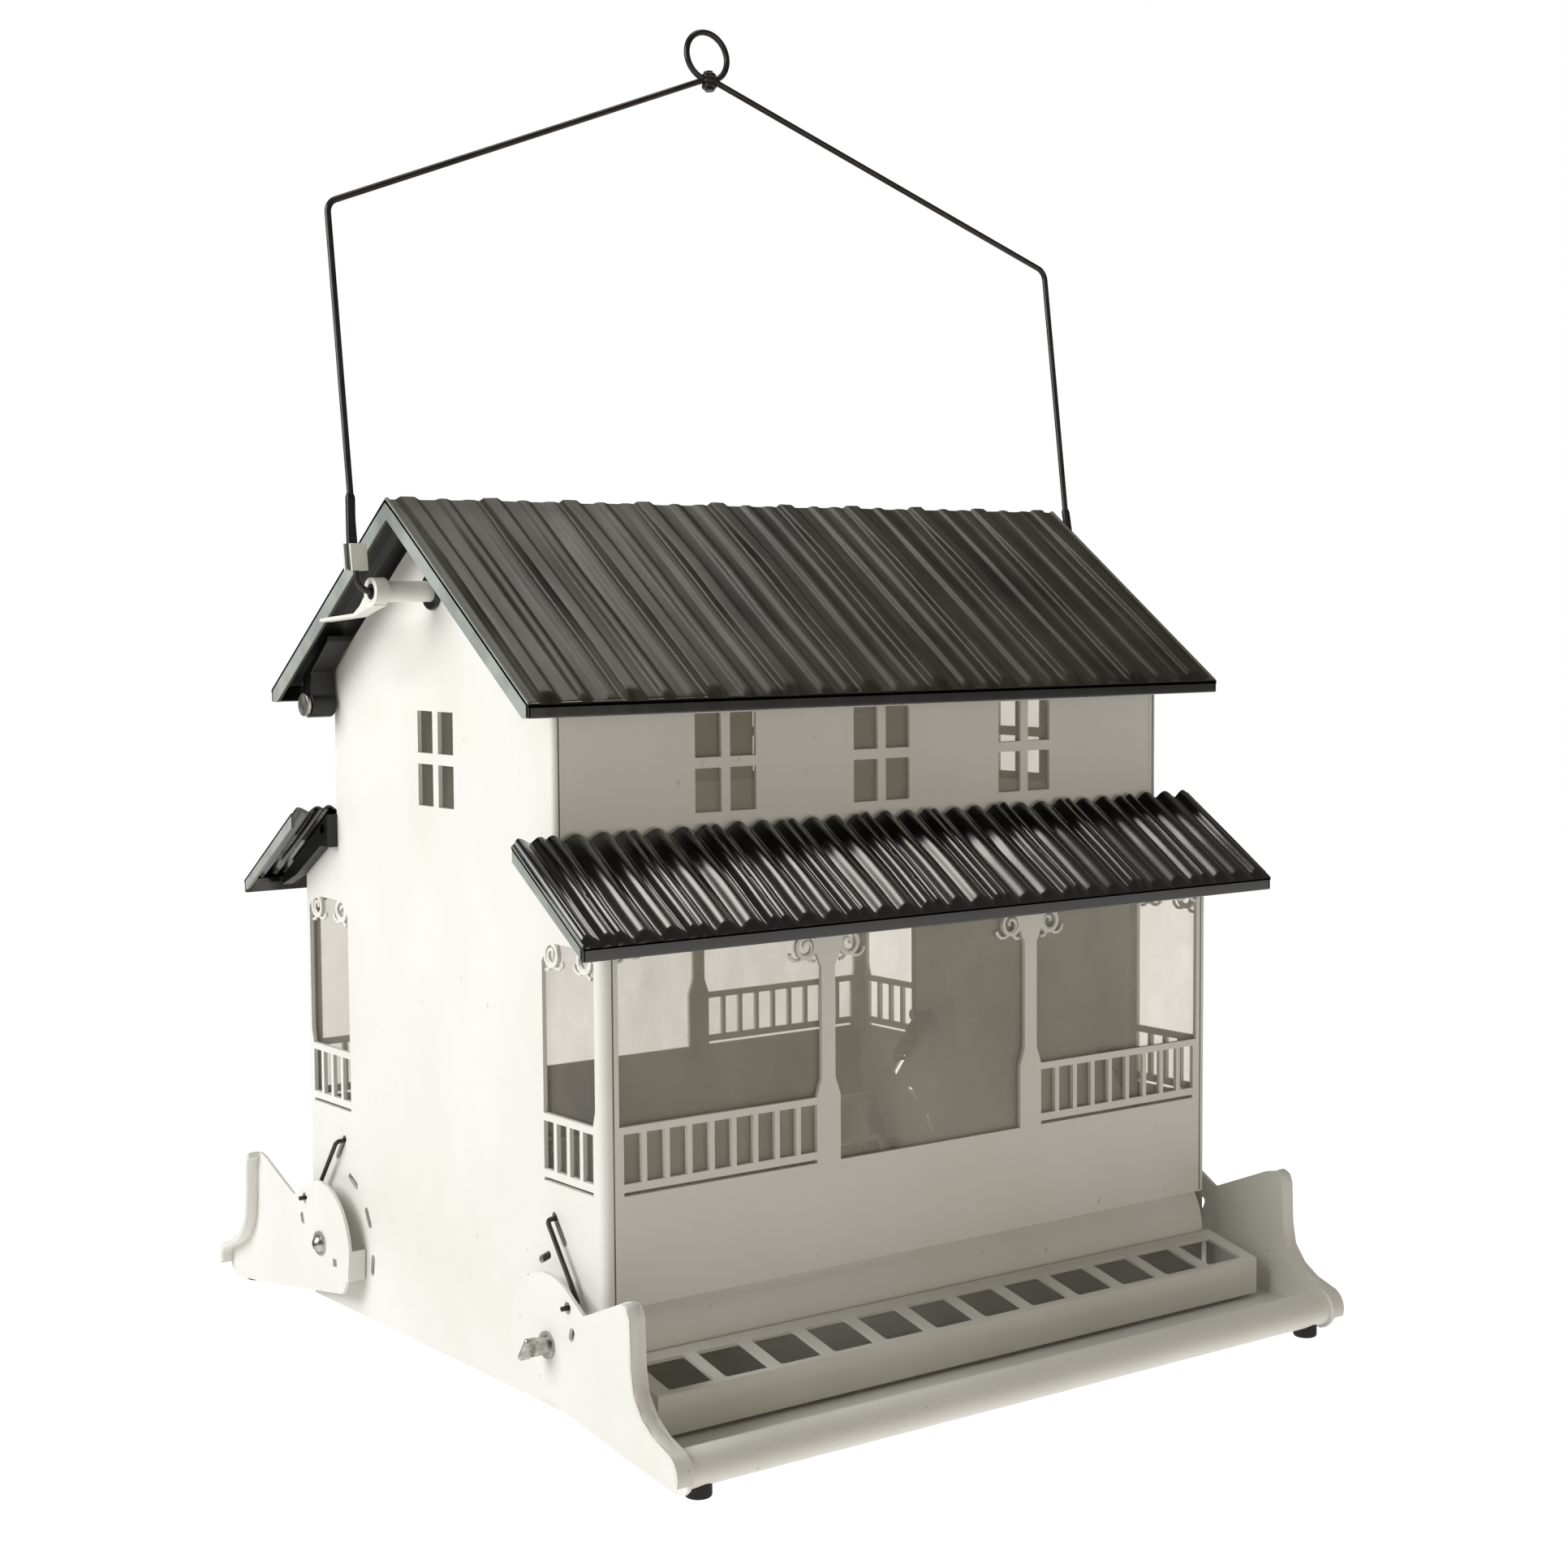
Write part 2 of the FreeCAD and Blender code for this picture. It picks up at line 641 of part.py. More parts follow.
def tray_front():
    edge = wall_inner
    outer, inner, t = tray_outer_depth, tray_inner_depth, thin_sheet
    bottom = box(-edge, edge, -outer, -inner, tray_bottom, tray_bottom + t)
    lip = box(-edge, edge, -outer, -outer + t, tray_bottom, tray_lip_height)
    grid = slab_yz([(-outer, tray_lip_height), (-grid_inner_depth, grid_top(grid_inner_depth)),
                    (-grid_inner_depth, grid_top(grid_inner_depth) - t),
                    (-outer, tray_lip_height - t)], -edge, edge)
    ports = []
    for i in range(port_count):
        centre = (i - (port_count - 1) / 2) * port_pitch
        near = outer - port_front_strip
        port = box(centre - port_width / 2, centre + port_width / 2, -near,
                   -near + port_depth, tray_lip_height - 4, tray_lip_height + 12)
        ports.append(rounded(port, port_corner, upright))
    ends = []
    for sign in (-1, 1):
        x0, x1 = sorted((sign * edge, sign * (edge - t)))
        ends.append(slab_yz([(-outer, tray_bottom), (-grid_inner_depth, tray_bottom),
                             (-grid_inner_depth, grid_top(grid_inner_depth)),
                             (-outer, tray_lip_height)], x0, x1))
    tray = joined([bottom, lip, cut(grid, ports)] + ends)

    def lip_edge(edge):
        point = edge.Vertexes[0].Point
        return (along_x(edge) and abs(point.y + outer) < 1e-3
                and abs(point.z - tray_lip_height) < 1e-3)

    return rounded(tray, tray_lip_round, lip_edge)


# ---------------------------------------------------------------- perch frame
def end_plate_front_left():
    """Side plate: sector round the pivot, tall front corner and the lobe round the rail."""
    x0, x1 = -plate_outer, -plate_inner
    p, h = pivot_depth, pivot_height
    arc_start = math.radians(62.0)
    sector = []
    steps = 14
    stop = math.radians(222.0)
    for i in range(steps + 1):
        turn = arc_start + (stop - arc_start) * i / steps
        sector.append((p + sector_radius * math.cos(turn), h + sector_radius * math.sin(turn)))
    lobe = []
    for degrees in range(-80, 61, 20):
        turn = math.radians(degrees)
        lobe.append((rail_depth + lobe_radius * math.cos(turn),
                     rail_height + lobe_radius * math.sin(turn)))
    top, high = plate_top_depth, plate_top_height
    outline = sector + [(rail_depth - 30, rail_height + 0.5 - 4.0)] + lobe
    outline += [(rail_depth - 5.0, rail_height + 9.4), (rail_depth - 11.0, rail_height + 13.4),
                (rail_depth - 15.5, rail_height + 19.4), (top + 0.6, rail_height + 27.0),
                (top, high - plate_corner), (top - 1.2, high - 1.2), (top - plate_corner, high),
                (top - 8.0, high - 0.8), plate_notch]
    plate = slab_yz([(-u, z) for u, z in outline], x0, x1)
    holes = [rod_x(screw_radius, x0 - 1, x1 + 1, -p, h),
             rod_x(eye_radius, x0 - 1, x1 + 1, -eye_depth, eye_height),
             box(x0 - 1, x1 + 1, -p + 10.0, -p + 13.0, h - 6.6, h - 3.6)]
    holes += slot_x(p + 14.5, h + 6.5, math.radians(70), 4.6, 2.8, x0 - 1, x1 + 1)
    plate = cut(plate, holes)
    # flange turned outwards along the tall front edge and round the lobe
    front_line = [(top, high - plate_corner), (top + 0.6, rail_height + 27.0),
                  (rail_depth - 15.5, rail_height + 19.4),
                  (rail_depth - 11.0, rail_height + 13.4),
                  (rail_depth - 5.0, rail_height + 9.4)] + list(reversed(lobe))[:5]
    flange_points = offset_band([(top - plate_corner, high), (top - 1.2, high - 1.2)]
                                + front_line, thin_sheet)
    flange = slab_yz([(-u, z) for u, z in flange_points], x0 - plate_flange, x1)
    # stop tab turned inwards at the heel of the sector
    tab_x1 = -half_length - moving_gap
    heel = p - sector_radius
    tab = slab_yz([(-heel - 2.4, h - 10.0), (-heel - 1.2, h - 10.0), (-heel - 0.4, h + 1.0),
                   (-heel - 1.6, h + 1.0)], x0, tab_x1)
    return joined([plate, flange, tab])


def offset_band(points, thickness):
    """Closed outline of a strip that follows the points and lies on their inner side."""
    inner = []
    for i, (u, z) in enumerate(points):
        before = points[max(i - 1, 0)]
        after = points[min(i + 1, len(points) - 1)]
        du, dz = after[0] - before[0], after[1] - before[1]
        length = math.hypot(du, dz)
        inner.append((u + dz / length * thickness, z - du / length * thickness))
    return points + list(reversed(inner))


def perch_rail_front():
    """Rolled perch bar with the sheet platform behind it."""
    edge = plate_inner
    bar = rod_x(rail_radius, -edge, edge, -rail_depth, rail_height)
    hollow = rod_x(rail_radius - rail_wall, -edge - 1, edge + 1, -rail_depth, rail_height)
    deck = box(-edge, edge, -rail_depth + rail_radius - 1.0, -platform_inner_depth,
               rail_height - 0.7, rail_height - 0.7 + thin_sheet)
    return cut(joined([bar, deck]), [hollow])


def pivot_shaft_front():
    edge = plate_inner
    shaft = rod_x(pivot_shaft_radius, -edge, edge, -pivot_depth, pivot_height)
    tap_depth = screw_grip + 3
    taps = [rod_x(screw_radius, x0, x0 + tap_depth, -pivot_depth, pivot_height)
            for x0 in (-edge, edge - tap_depth)]
    return cut(shaft, taps)


def seed_gate_front():
    """Curved shutter on two arms, fixed to the shaft inside the house."""
    edge = wall_inner - 2.6
    centre = Vector(-edge, -pivot_depth, pivot_height)
    sweep = gate_high_angle - gate_low_angle
    start = 180.0 - gate_high_angle
    outer = sector_solid(gate_radius, centre, start, sweep, 2 * edge)
    inner = sector_solid(gate_radius - thin_sheet, centre, start - 5, sweep + 10, 2 * edge)
    shell = outer.cut(inner)
    pieces = [shell]
    for x0 in (-edge + gate_arm_inset, edge - gate_arm_inset - 1.6):
        arm_centre = Vector(x0, -pivot_depth, pivot_height)
        arm = sector_solid(gate_radius - 0.2, arm_centre, start + 4, sweep - 8, 1.6)
        hub = rod_x(pivot_shaft_radius + 2.4, x0, x0 + 1.6, -pivot_depth, pivot_height)
        pieces += [arm, hub]
    gate = joined(pieces)
    return cut(gate, [rod_x(pivot_shaft_radius, -edge - 1, edge + 1, -pivot_depth, pivot_height)])


def sector_solid(radius, centre, start, sweep, length):
    """Pie slice about a line along X; angles run from +Y towards +Z."""
    pie = Part.makeCylinder(radius, length, Vector(0, 0, 0), Vector(0, 0, 1), sweep)
    pie.rotate(Vector(0, 0, 0), Vector(0, 0, 1), start)
    pie.rotate(Vector(0, 0, 0), Vector(1, 1, 1), 120)
    pie.translate(centre)
    return pie


def pivot_screw_left():
    """Screw through the end plate into the shaft."""
    stem = rod_x(screw_radius, -plate_outer, -plate_inner + screw_grip, -pivot_depth,
                 pivot_height)
    washer = rod_x(washer_radius, -plate_outer - washer_thickness, -plate_outer,
                   -pivot_depth, pivot_height)
    return stem, washer


def pan_screw_left():
    stem, washer = pivot_screw_left()
    seat = -plate_outer - washer_thickness
    head = Part.makeSphere(pan_head_radius, Vector(seat + 1.2, -pivot_depth, pivot_height))
    half = pan_head_radius + 1
    keep = box(seat - half, seat, -pivot_depth - half, -pivot_depth + half,
               pivot_height - half, pivot_height + half)
    arms = [box(seat - half, seat - 1.1, -pivot_depth - across, -pivot_depth + across,
                pivot_height - up, pivot_height + up)
            for across, up in ((1.9, 0.35), (0.35, 1.9))]
    return cut(joined([stem, washer, head.common(keep)]), arms)


def thumb_screw_left():
    stem, washer = pivot_screw_left()
    seat = -plate_outer - washer_thickness
    collar = rod_x(2.9, seat - 5.2, seat, -pivot_depth, pivot_height)
    wing = box(seat - 8.7, seat - 4.2, -pivot_depth - 1.1, -pivot_depth + 1.1,
               pivot_height - 4.6, pivot_height + 4.6)
    wing = wing.makeFillet(1.0, wing.Edges)
    wing.rotate(Vector(0, -pivot_depth, pivot_height), Vector(1, 0, 0), wing_turn)
    return joined([stem, washer, collar, wing])


def pivot_spacer_left():
    """Nylon bush on the shaft between gable wall and end plate."""
    ring = rod_x(pivot_shaft_radius + 2.6, -plate_inner, -half_length - fit_gap,
                 -pivot_depth, pivot_height)
    return cut(ring, [rod_x(pivot_shaft_radius, -plate_inner - 1, -half_length,
                            -pivot_depth, pivot_height)])


def foot_left():
    x = -plate_inner + foot_inset
    low = rail_height - rail_radius - foot_height + 0.8
    pad = Part.makeCylinder(foot_radius, foot_height + 2.0, Vector(x, -rail_depth, low))
    pad = rounded(pad, 0.9, lambda e: abs(e.Vertexes[0].Point.z - low) < 1e-3)
    bar = rod_x(rail_radius, x - 10, x + 10, -rail_depth, rail_height)
    return pad.cut(bar).Solids[0]


# ---------------------------------------------------------------- links and springs
def link_left():
    """Wire from the plate's eye up to the wall slot, bent inwards to the spring."""
    top = Vector(-link_x, -link_top_depth, link_top_height)
    low = Vector(-link_x, -eye_depth, eye_height)
    hook_out = Vector(-plate_outer - 2.2, low.y, low.z)
    hook_in = Vector(-spring_x, top.y, top.z)
    return bent_wire([hook_out, low, top, hook_in], 2 * link_radius, link_radius)


def bent_wire(points, bend, radius):
    """Round wire along straight runs with an arc at each corner."""
    edges = []
    start = points[0]
    for before, corner, after in zip(points, points[1:], points[2:]):
        to_before = (before - corner).normalize()
        to_after = (after - corner).normalize()
        half_turn = to_before.getAngle(to_after) / 2
        setback = bend / math.tan(half_turn)
        entry = corner + to_before * setback
        leave = corner + to_after * setback
        bisector = (to_before + to_after).normalize()
        middle = corner + bisector * (bend / math.sin(half_turn) - bend)
        edges.append(Part.LineSegment(start, entry).toShape())
        edges.append(Part.Arc(entry, middle, leave).toShape())
        start = leave
    edges.append(Part.LineSegment(start, points[-1]).toShape())
    heading = points[1] - points[0]
    ring = Part.Wire([Part.Circle(points[0], heading, radius).toShape()])
    return Part.Wire(edges).makePipeShell([ring], True, True).Solids[0]


def spring_left():
    """Outer shape of the extension spring, lying inside the gable along the link's line."""
    start = Vector(-spring_x, -link_top_depth, link_top_height)
    up = Vector(0, link_direction[0], -link_direction[1])
    gap = link_radius + spring_hook
    coil = Part.makeCylinder(spring_radius, spring_length, start + up * gap, up)
    return coil.cut(Part.makeCylinder(spring_radius - 2 * spring_wire, spring_length + 2,
                                      start + up * (gap - 1), up)).Solids[0]


def spring_post_left():
    """Stud inside the gable that holds the spring's upper end."""
    reach = link_radius + spring_hook + spring_length + 1.8
    depth = link_top_depth - link_direction[0] * reach
    height = link_top_height - link_direction[1] * reach
    stud_end = -wall_inner + post_length
    stud = rod_x(post_radius, -wall_inner, stud_end, -depth, height)
    head = rod_x(post_head_radius, stud_end, stud_end + thin_sheet, -depth, height)
    return joined([stud, head])


# ---------------------------------------------------------------- hanger
def crossbar():
    bar = rod_x(bar_radius, -bar_half_length, bar_half_length, 0, bar_height)
    return cut(bar, [rod_x(bar_radius - bar_wall, -bar_half_length - 1, bar_half_length + 1,
                           0, bar_height)])


def bar_plug_left():
    x0 = -bar_half_length
    plug = rod_x(bar_radius - bar_wall, x0, x0 + bar_plug_length, 0, bar_height)
    return cut(plug, [rod_x(bail_wire_radius + turning_gap, x0 - 1, x0 + bar_plug_length + 1,
                            0, bar_height)])


def bar_grommet_left():
    lip = 1.2
    outer = bar_radius + grommet_wall
    ring = rod_x(outer, -half_length - lip, -wall_inner + lip, 0, bar_height)
    flanges = [rod_x(outer + lip, -half_length - lip, -half_length, 0, bar_height),
               rod_x(outer + lip, -wall_inner, -wall_inner + lip, 0, bar_height)]
    return cut(joined([ring] + flanges), [rod_x(bar_radius, -half_length - 5, -wall_inner + 5,
                                                0, bar_height)])


def bar_strap_left():
    """Flat strap clamped round the bar end, with an arm that reaches back under the rake."""
    x0, x1 = -bar_half_length, -roof_length / 2 - 1.0
    ring = rod_x(bar_radius + 1.2, x0, x1, 0, bar_height)
    arm = slab_yz([(-2.0, bar_height - bar_radius - 1.2), (6.0, bar_height - 6.6),
                   (12.0, bar_height - 8.4), (38.0, bar_height - 10.2),
                   (38.0, bar_height - 9.0), (12.6, bar_height - 7.2),
                   (8.0, bar_height - 4.6), (4.0, bar_height - 1.0), (0, bar_height)], x0, x1)
    return cut(joined([ring, arm]), [rod_x(bar_radius, x0 - 1, x1 + 1, 0, bar_height)])


def lean_point(x, reach):
    """Point on the bail's leaning plane, reach above the bar."""
    return Vector(x, reach * math.sin(lean), bar_height + reach * math.cos(lean))


def hanger_bail():
    """One wire: pins in the bar ends, legs, sloping shoulders and a round loop on top."""
    foot_x = bar_half_length - bar_plug_length + 2
    side = [lean_point(-foot_x, 0), lean_point(-bail_half_width, 0),
            lean_point(-bail_half_width, bail_shoulder), lean_point(-2.0, bail_peak)]
    left = bent_wire(side, bail_bend, bail_wire_radius)
    loop = Part.makeTorus(loop_radius, bail_wire_radius, Vector(0, 0, 0), Vector(0, 1, 0))
    loop.rotate(Vector(0, 0, 0), Vector(1, 0, 0), -bail_lean)
    loop.translate(lean_point(0, loop_centre_reach))
    wrap_radius = bail_wire_radius * 1.6
    neck = [Part.makeCylinder(wrap_radius, (wrap_count + 1) * wrap_pitch,
                              Vector(0, 0, -wrap_pitch))]
    for i in range(wrap_count):
        neck.append(Part.makeTorus(wrap_radius, bail_wire_radius, Vector(0, 0, i * wrap_pitch),
                                   Vector(0, 0, 1)))
    for piece in neck:
        piece.rotate(Vector(0, 0, 0), Vector(1, 0, 0), -bail_lean)
        piece.translate(lean_point(0, bail_peak - bail_wire_radius * 2))
    return joined([left, to_right(left), loop] + neck)


def onto_left_leg(piece, reach):
    """Turn a piece built about +Z into the leaning plane, on the left leg."""
    piece.rotate(Vector(0, 0, 0), Vector(1, 0, 0), -bail_lean)
    piece.translate(lean_point(-bail_half_width, reach))
    return piece


def bail_sleeve_left():
    block = Part.makeBox(sleeve_size, sleeve_size, sleeve_height,
                         Vector(-sleeve_size / 2, -sleeve_size / 2, 0))
    block = rounded(block, 0.8, upright)
    hole = Part.makeCylinder(bail_wire_radius, sleeve_height + 2, Vector(0, 0, -1))
    return onto_left_leg(block.cut(hole).Solids[0], sleeve_reach)


def bail_boot_left():
    tube = Part.makeCylinder(boot_radius, boot_length)
    hole = Part.makeCylinder(bail_wire_radius, boot_length + 2, Vector(0, 0, -1))
    return onto_left_leg(tube.cut(hole).Solids[0], sleeve_reach + sleeve_height)


# ---------------------------------------------------------------- write every node
def write_pair(name, left):
    """A left piece and its mirror image, one node each."""
    export(name + "_left", left)
    export(name + "_right", to_right(left))


def write_front_rear(name, front):
    export(name + "_front", front)
    export(name + "_rear", to_rear(front))


def both_ends(left):
    return Part.makeCompound([left, to_right(left)])


os.makedirs("parts", exist_ok=True)

export("main_roof", main_roof())
export("roof_hinge_straps", both_ends(hinge_strap_left()))
export("roof_hinge_pins", both_ends(hinge_pin_left()))
write_front_rear("porch_roof", porch_roof_front())
write_front_rear("porch_roof_clips", porch_clips_front())
write_pair("gable_wall", gable_wall_left())
write_front_rear("upper_wall", upper_wall_front())
write_front_rear("porch_wall", porch_wall_front())
write_front_rear("window_panes", window_panes_front())
write_front_rear("porch_panes", porch_panes_front())
write_pair("gable_window_pane", gable_window_pane_left())
write_pair("gable_porch_panes", gable_porch_panes_left())
export("floor_pan", floor_pan())
export("seed_baffle", seed_baffle())
write_front_rear("seed_tray", tray_front())
export("crossbar", crossbar())
export("crossbar_plugs", both_ends(bar_plug_left()))
export("crossbar_grommets", both_ends(bar_grommet_left()))
write_pair("crossbar_strap", bar_strap_left())
export("hanger_bail", hanger_bail())
export("bail_sleeves", both_ends(bail_sleeve_left()))
export("bail_boots", both_ends(bail_boot_left()))

for side, place in (("front", lambda s: s), ("rear", to_rear)):
    plate = place(end_plate_front_left())
    export("end_plate_" + side + "_left", plate)
    export("end_plate_" + side + "_right", to_right(plate))
    export("perch_rail_" + side, place(perch_rail_front()))
    export("pivot_shaft_" + side, place(pivot_shaft_front()))
    export("seed_gate_" + side, place(seed_gate_front()))
    export("pivot_spacers_" + side, place(both_ends(pivot_spacer_left())))
    export("perch_feet_" + side, place(both_ends(foot_left())))
    export("link_" + side + "_left", place(link_left()))
    export("link_" + side + "_right", to_right(place(link_left())))
    export("spring_" + side + "_left", place(spring_left()))
    export("spring_" + side + "_right", to_right(place(spring_left())))
export("pivot_screws_front", both_ends(thumb_screw_left()))
export("pivot_screws_rear", to_rear(both_ends(pan_screw_left())))
export("spring_posts", Part.makeCompound([spring_post_left(), to_right(spring_post_left()),
                                          to_rear(spring_post_left()),
                                          to_rear(to_right(spring_post_left()))]))
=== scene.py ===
"""Looks of the hanging farmhouse bird feeder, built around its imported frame.

Metres, +X along the ridge, -Y is the front, +Z is up, origin in the middle of the hanging loop.
"""
import json
import math
import random

import bmesh
import bpy
from mathutils import Matrix, Vector, noise

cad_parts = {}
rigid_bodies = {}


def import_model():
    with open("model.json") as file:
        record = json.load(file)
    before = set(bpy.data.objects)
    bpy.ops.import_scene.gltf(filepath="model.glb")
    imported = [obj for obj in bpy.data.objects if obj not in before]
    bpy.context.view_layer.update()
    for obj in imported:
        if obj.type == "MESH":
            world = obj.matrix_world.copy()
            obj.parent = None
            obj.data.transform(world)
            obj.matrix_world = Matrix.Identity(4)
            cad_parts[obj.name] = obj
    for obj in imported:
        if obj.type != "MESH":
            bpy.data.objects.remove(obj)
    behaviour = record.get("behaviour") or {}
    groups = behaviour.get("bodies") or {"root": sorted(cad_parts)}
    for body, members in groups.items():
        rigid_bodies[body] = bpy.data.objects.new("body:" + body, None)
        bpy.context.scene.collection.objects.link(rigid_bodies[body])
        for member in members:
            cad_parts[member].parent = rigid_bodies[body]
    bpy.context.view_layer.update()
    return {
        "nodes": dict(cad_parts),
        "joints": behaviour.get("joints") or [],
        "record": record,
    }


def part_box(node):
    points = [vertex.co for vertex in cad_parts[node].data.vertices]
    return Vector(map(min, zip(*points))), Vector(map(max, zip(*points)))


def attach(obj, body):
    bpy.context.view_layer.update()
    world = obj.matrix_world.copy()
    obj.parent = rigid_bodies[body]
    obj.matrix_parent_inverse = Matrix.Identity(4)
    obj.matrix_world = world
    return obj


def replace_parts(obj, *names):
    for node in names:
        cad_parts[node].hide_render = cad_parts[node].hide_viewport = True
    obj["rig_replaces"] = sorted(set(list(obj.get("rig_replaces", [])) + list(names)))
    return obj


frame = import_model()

MM = 0.001
chance = random.Random(7)

slot_of = {part["node"]: part["material_slot"] for part in frame["record"]["subparts"]}
body_of = {node: body for body, nodes in frame["record"]["behaviour"]["bodies"].items()
           for node in nodes}
joints = {joint["name"]: joint for joint in frame["joints"]}

# the house's own reference lines: the crossbar is right under the ridge
ridge_y = joints["house_swing"]["pos_m"][1]
ground_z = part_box("gable_wall_left")[0].z


def place(x, y, z):
    """Point given in millimetres from under the ridge at the gables' bottom edge."""
    return Vector((x * MM, ridge_y + y * MM, ground_z + z * MM))


# ------------------------------------------------------------------ shader helpers
def linear(code):
    """sRGB hex colour as linear RGBA."""
    channels = [int(code[i:i + 2], 16) / 255 for i in (1, 3, 5)]
    return [c / 12.92 if c <= 0.04045 else ((c + 0.055) / 1.055) ** 2.4 for c in channels] + [1]


def add(tree, kind, inputs=None, stops=None, **settings):
    """Add one shader node with its settings; inputs are socket values or sockets to link."""
    node = tree.nodes.new("ShaderNode" + kind)
    for key, value in settings.items():
        setattr(node, key, value)
    if stops:
        ramp = node.color_ramp
        while len(ramp.elements) < len(stops):
            ramp.elements.new(0.5)
        for element, (position, colour) in zip(ramp.elements, stops):
            element.position = position
            element.color = colour
    for key, value in (inputs or {}).items():
        socket = node.inputs[key]
        if isinstance(value, bpy.types.NodeSocket):
            tree.links.new(value, socket)
        else:
            socket.default_value = value
    return node


def finish_material(name, **surface):
    """New material with a Principled surface: itself, its tree, surface node and coordinates."""
    material = bpy.data.materials.new(name)
    material.use_nodes = True
    tree = material.node_tree
    tree.nodes.clear()
    shader = add(tree, "BsdfPrincipled", surface)
    add(tree, "OutputMaterial", {"Surface": shader.outputs[0]})
    where = add(tree, "TexCoord").outputs["Object"]
    return material, tree, shader, where


def stretched(tree, where, x, y, z):
    """Coordinates divided by a pattern's size in millimetres along each axis."""
    scale = [1 / (size * MM) for size in (x, y, z)]
    return add(tree, "Mapping", {"Vector": where, "Scale": scale}).outputs[0]


def grey(level):
    """Colour of a mask at one strength, in linear RGBA."""
    return (level, level, level, 1)


def powder_coat(name, body, shade, dust):
    """Baked polyester powder coat on sheet steel.

    The eye sees a satin skin with a very fine orange peel, faint waves where the sheet was
    pressed, a slightly darker tone in broad patches and a few dust specks.
    """
    material, tree, shader, where = finish_material(
        name, **{"Coat Weight": 0.12, "Coat Roughness": 0.3, "Specular IOR Level": 0.45})
    patches = add(tree, "TexNoise", {"Vector": stretched(tree, where, 70, 70, 90),
                                     "Scale": 1.0, "Detail": 3.0, "Roughness": 0.55})
    tone = add(tree, "ValToRGB", {"Fac": patches.outputs["Fac"]},
               stops=((0.35, linear(shade)), (0.62, linear(body))))
    specks = add(tree, "TexNoise", {"Vector": stretched(tree, where, 4, 4, 4),
                                    "Scale": 1.0, "Detail": 2.0})
    mask = add(tree, "ValToRGB", {"Fac": specks.outputs["Fac"]},
               stops=((0.735, grey(0.0)), (0.78, grey(0.5))))
    colour = add(tree, "MixRGB", {"Fac": mask.outputs[0], "Color1": tone.outputs[0],
                                  "Color2": linear(dust)})
    tree.links.new(colour.outputs[0], shader.inputs["Base Color"])
    # the real peel is near 0.3 mm; it is drawn coarser so that it shows
    grain, roughness = 1.3, 0.42
    peel = add(tree, "TexNoise", {"Vector": stretched(tree, where, grain, grain, grain),
                                  "Scale": 1.0, "Detail": 2.0, "Roughness": 0.6})
    waves = add(tree, "TexNoise", {"Vector": stretched(tree, where, 45, 45, 60),
                                   "Scale": 1.0, "Detail": 1.0})
    rough = add(tree, "MapRange", {"Value": peel.outputs["Fac"], "To Min": roughness - 0.06,
                                   "To Max": roughness + 0.08})
    tree.links.new(rough.outputs[0], shader.inputs["Roughness"])
    fine = add(tree, "Bump", {"Strength": 0.22, "Distance": 0.06 * MM,
                              "Height": peel.outputs["Fac"]})
    broad = add(tree, "Bump", {"Strength": 0.25, "Distance": 0.5 * MM,
                               "Height": waves.outputs["Fac"], "Normal": fine.outputs[0]})
    tree.links.new(broad.outputs[0], shader.inputs["Normal"])
    return material


def roof_coat(name, dark, light, crest_highlight, rough_low, rough_high, specular, coat):
    """Sprayed enamel on roll-formed roofing sheet.

    The eye sees streaks that run down the slope with the rolling direction and a gloss
    that changes from streak to streak; the lighter tone along the rib crests is a painted
    highlight.
    coat is the weight of the clear coat: 0 on the satin main roof, 1 on the porch roofs.
    """
    material, tree, shader, where = finish_material(
        name, **{"Coat Weight": coat, "Coat Roughness": 0.13, "Specular IOR Level": specular})
    streaks = add(tree, "TexNoise", {"Vector": stretched(tree, where, 5, 90, 70),
                                     "Scale": 1.0, "Detail": 4.0, "Roughness": 0.6})
    clouds = add(tree, "TexNoise", {"Vector": stretched(tree, where, 50, 50, 50),
                                    "Scale": 1.0, "Detail": 3.0})
    both = add(tree, "Math", {0: streaks.outputs["Fac"], 1: clouds.outputs["Fac"]},
               operation="MULTIPLY")
    tone = add(tree, "ValToRGB", {"Fac": both.outputs[0]},
               stops=((0.14, linear(dark)), (0.38, linear(light))))
    # painted highlight: the rib crests, found by the mesh's pointiness, are lightened towards this
    # colour
    crest = add(tree, "ValToRGB", {"Fac": add(tree, "NewGeometry").outputs["Pointiness"]},
                stops=((0.515, grey(0.0)), (0.575, grey(0.75))))
    colour = add(tree, "MixRGB", {"Fac": crest.outputs[0], "Color1": tone.outputs[0],
                                  "Color2": linear(crest_highlight)})
    tree.links.new(colour.outputs[0], shader.inputs["Base Color"])
    rough = add(tree, "MapRange", {"Value": streaks.outputs["Fac"], "From Min": 0.3,
                                   "From Max": 0.7, "To Min": rough_low, "To Max": rough_high})
    tree.links.new(rough.outputs[0], shader.inputs["Roughness"])
    lines = add(tree, "Bump", {"Strength": 0.2, "Distance": 0.08 * MM,
                               "Height": streaks.outputs["Fac"]})
    grit = add(tree, "TexNoise", {"Vector": stretched(tree, where, 1.2, 1.2, 1.2),
                                  "Scale": 1.0, "Detail": 1.0})
    fine = add(tree, "Bump", {"Strength": 0.1, "Distance": 0.02 * MM,
                              "Height": grit.outputs["Fac"], "Normal": lines.outputs[0]})
    tree.links.new(fine.outputs[0], shader.inputs["Normal"])
    return material


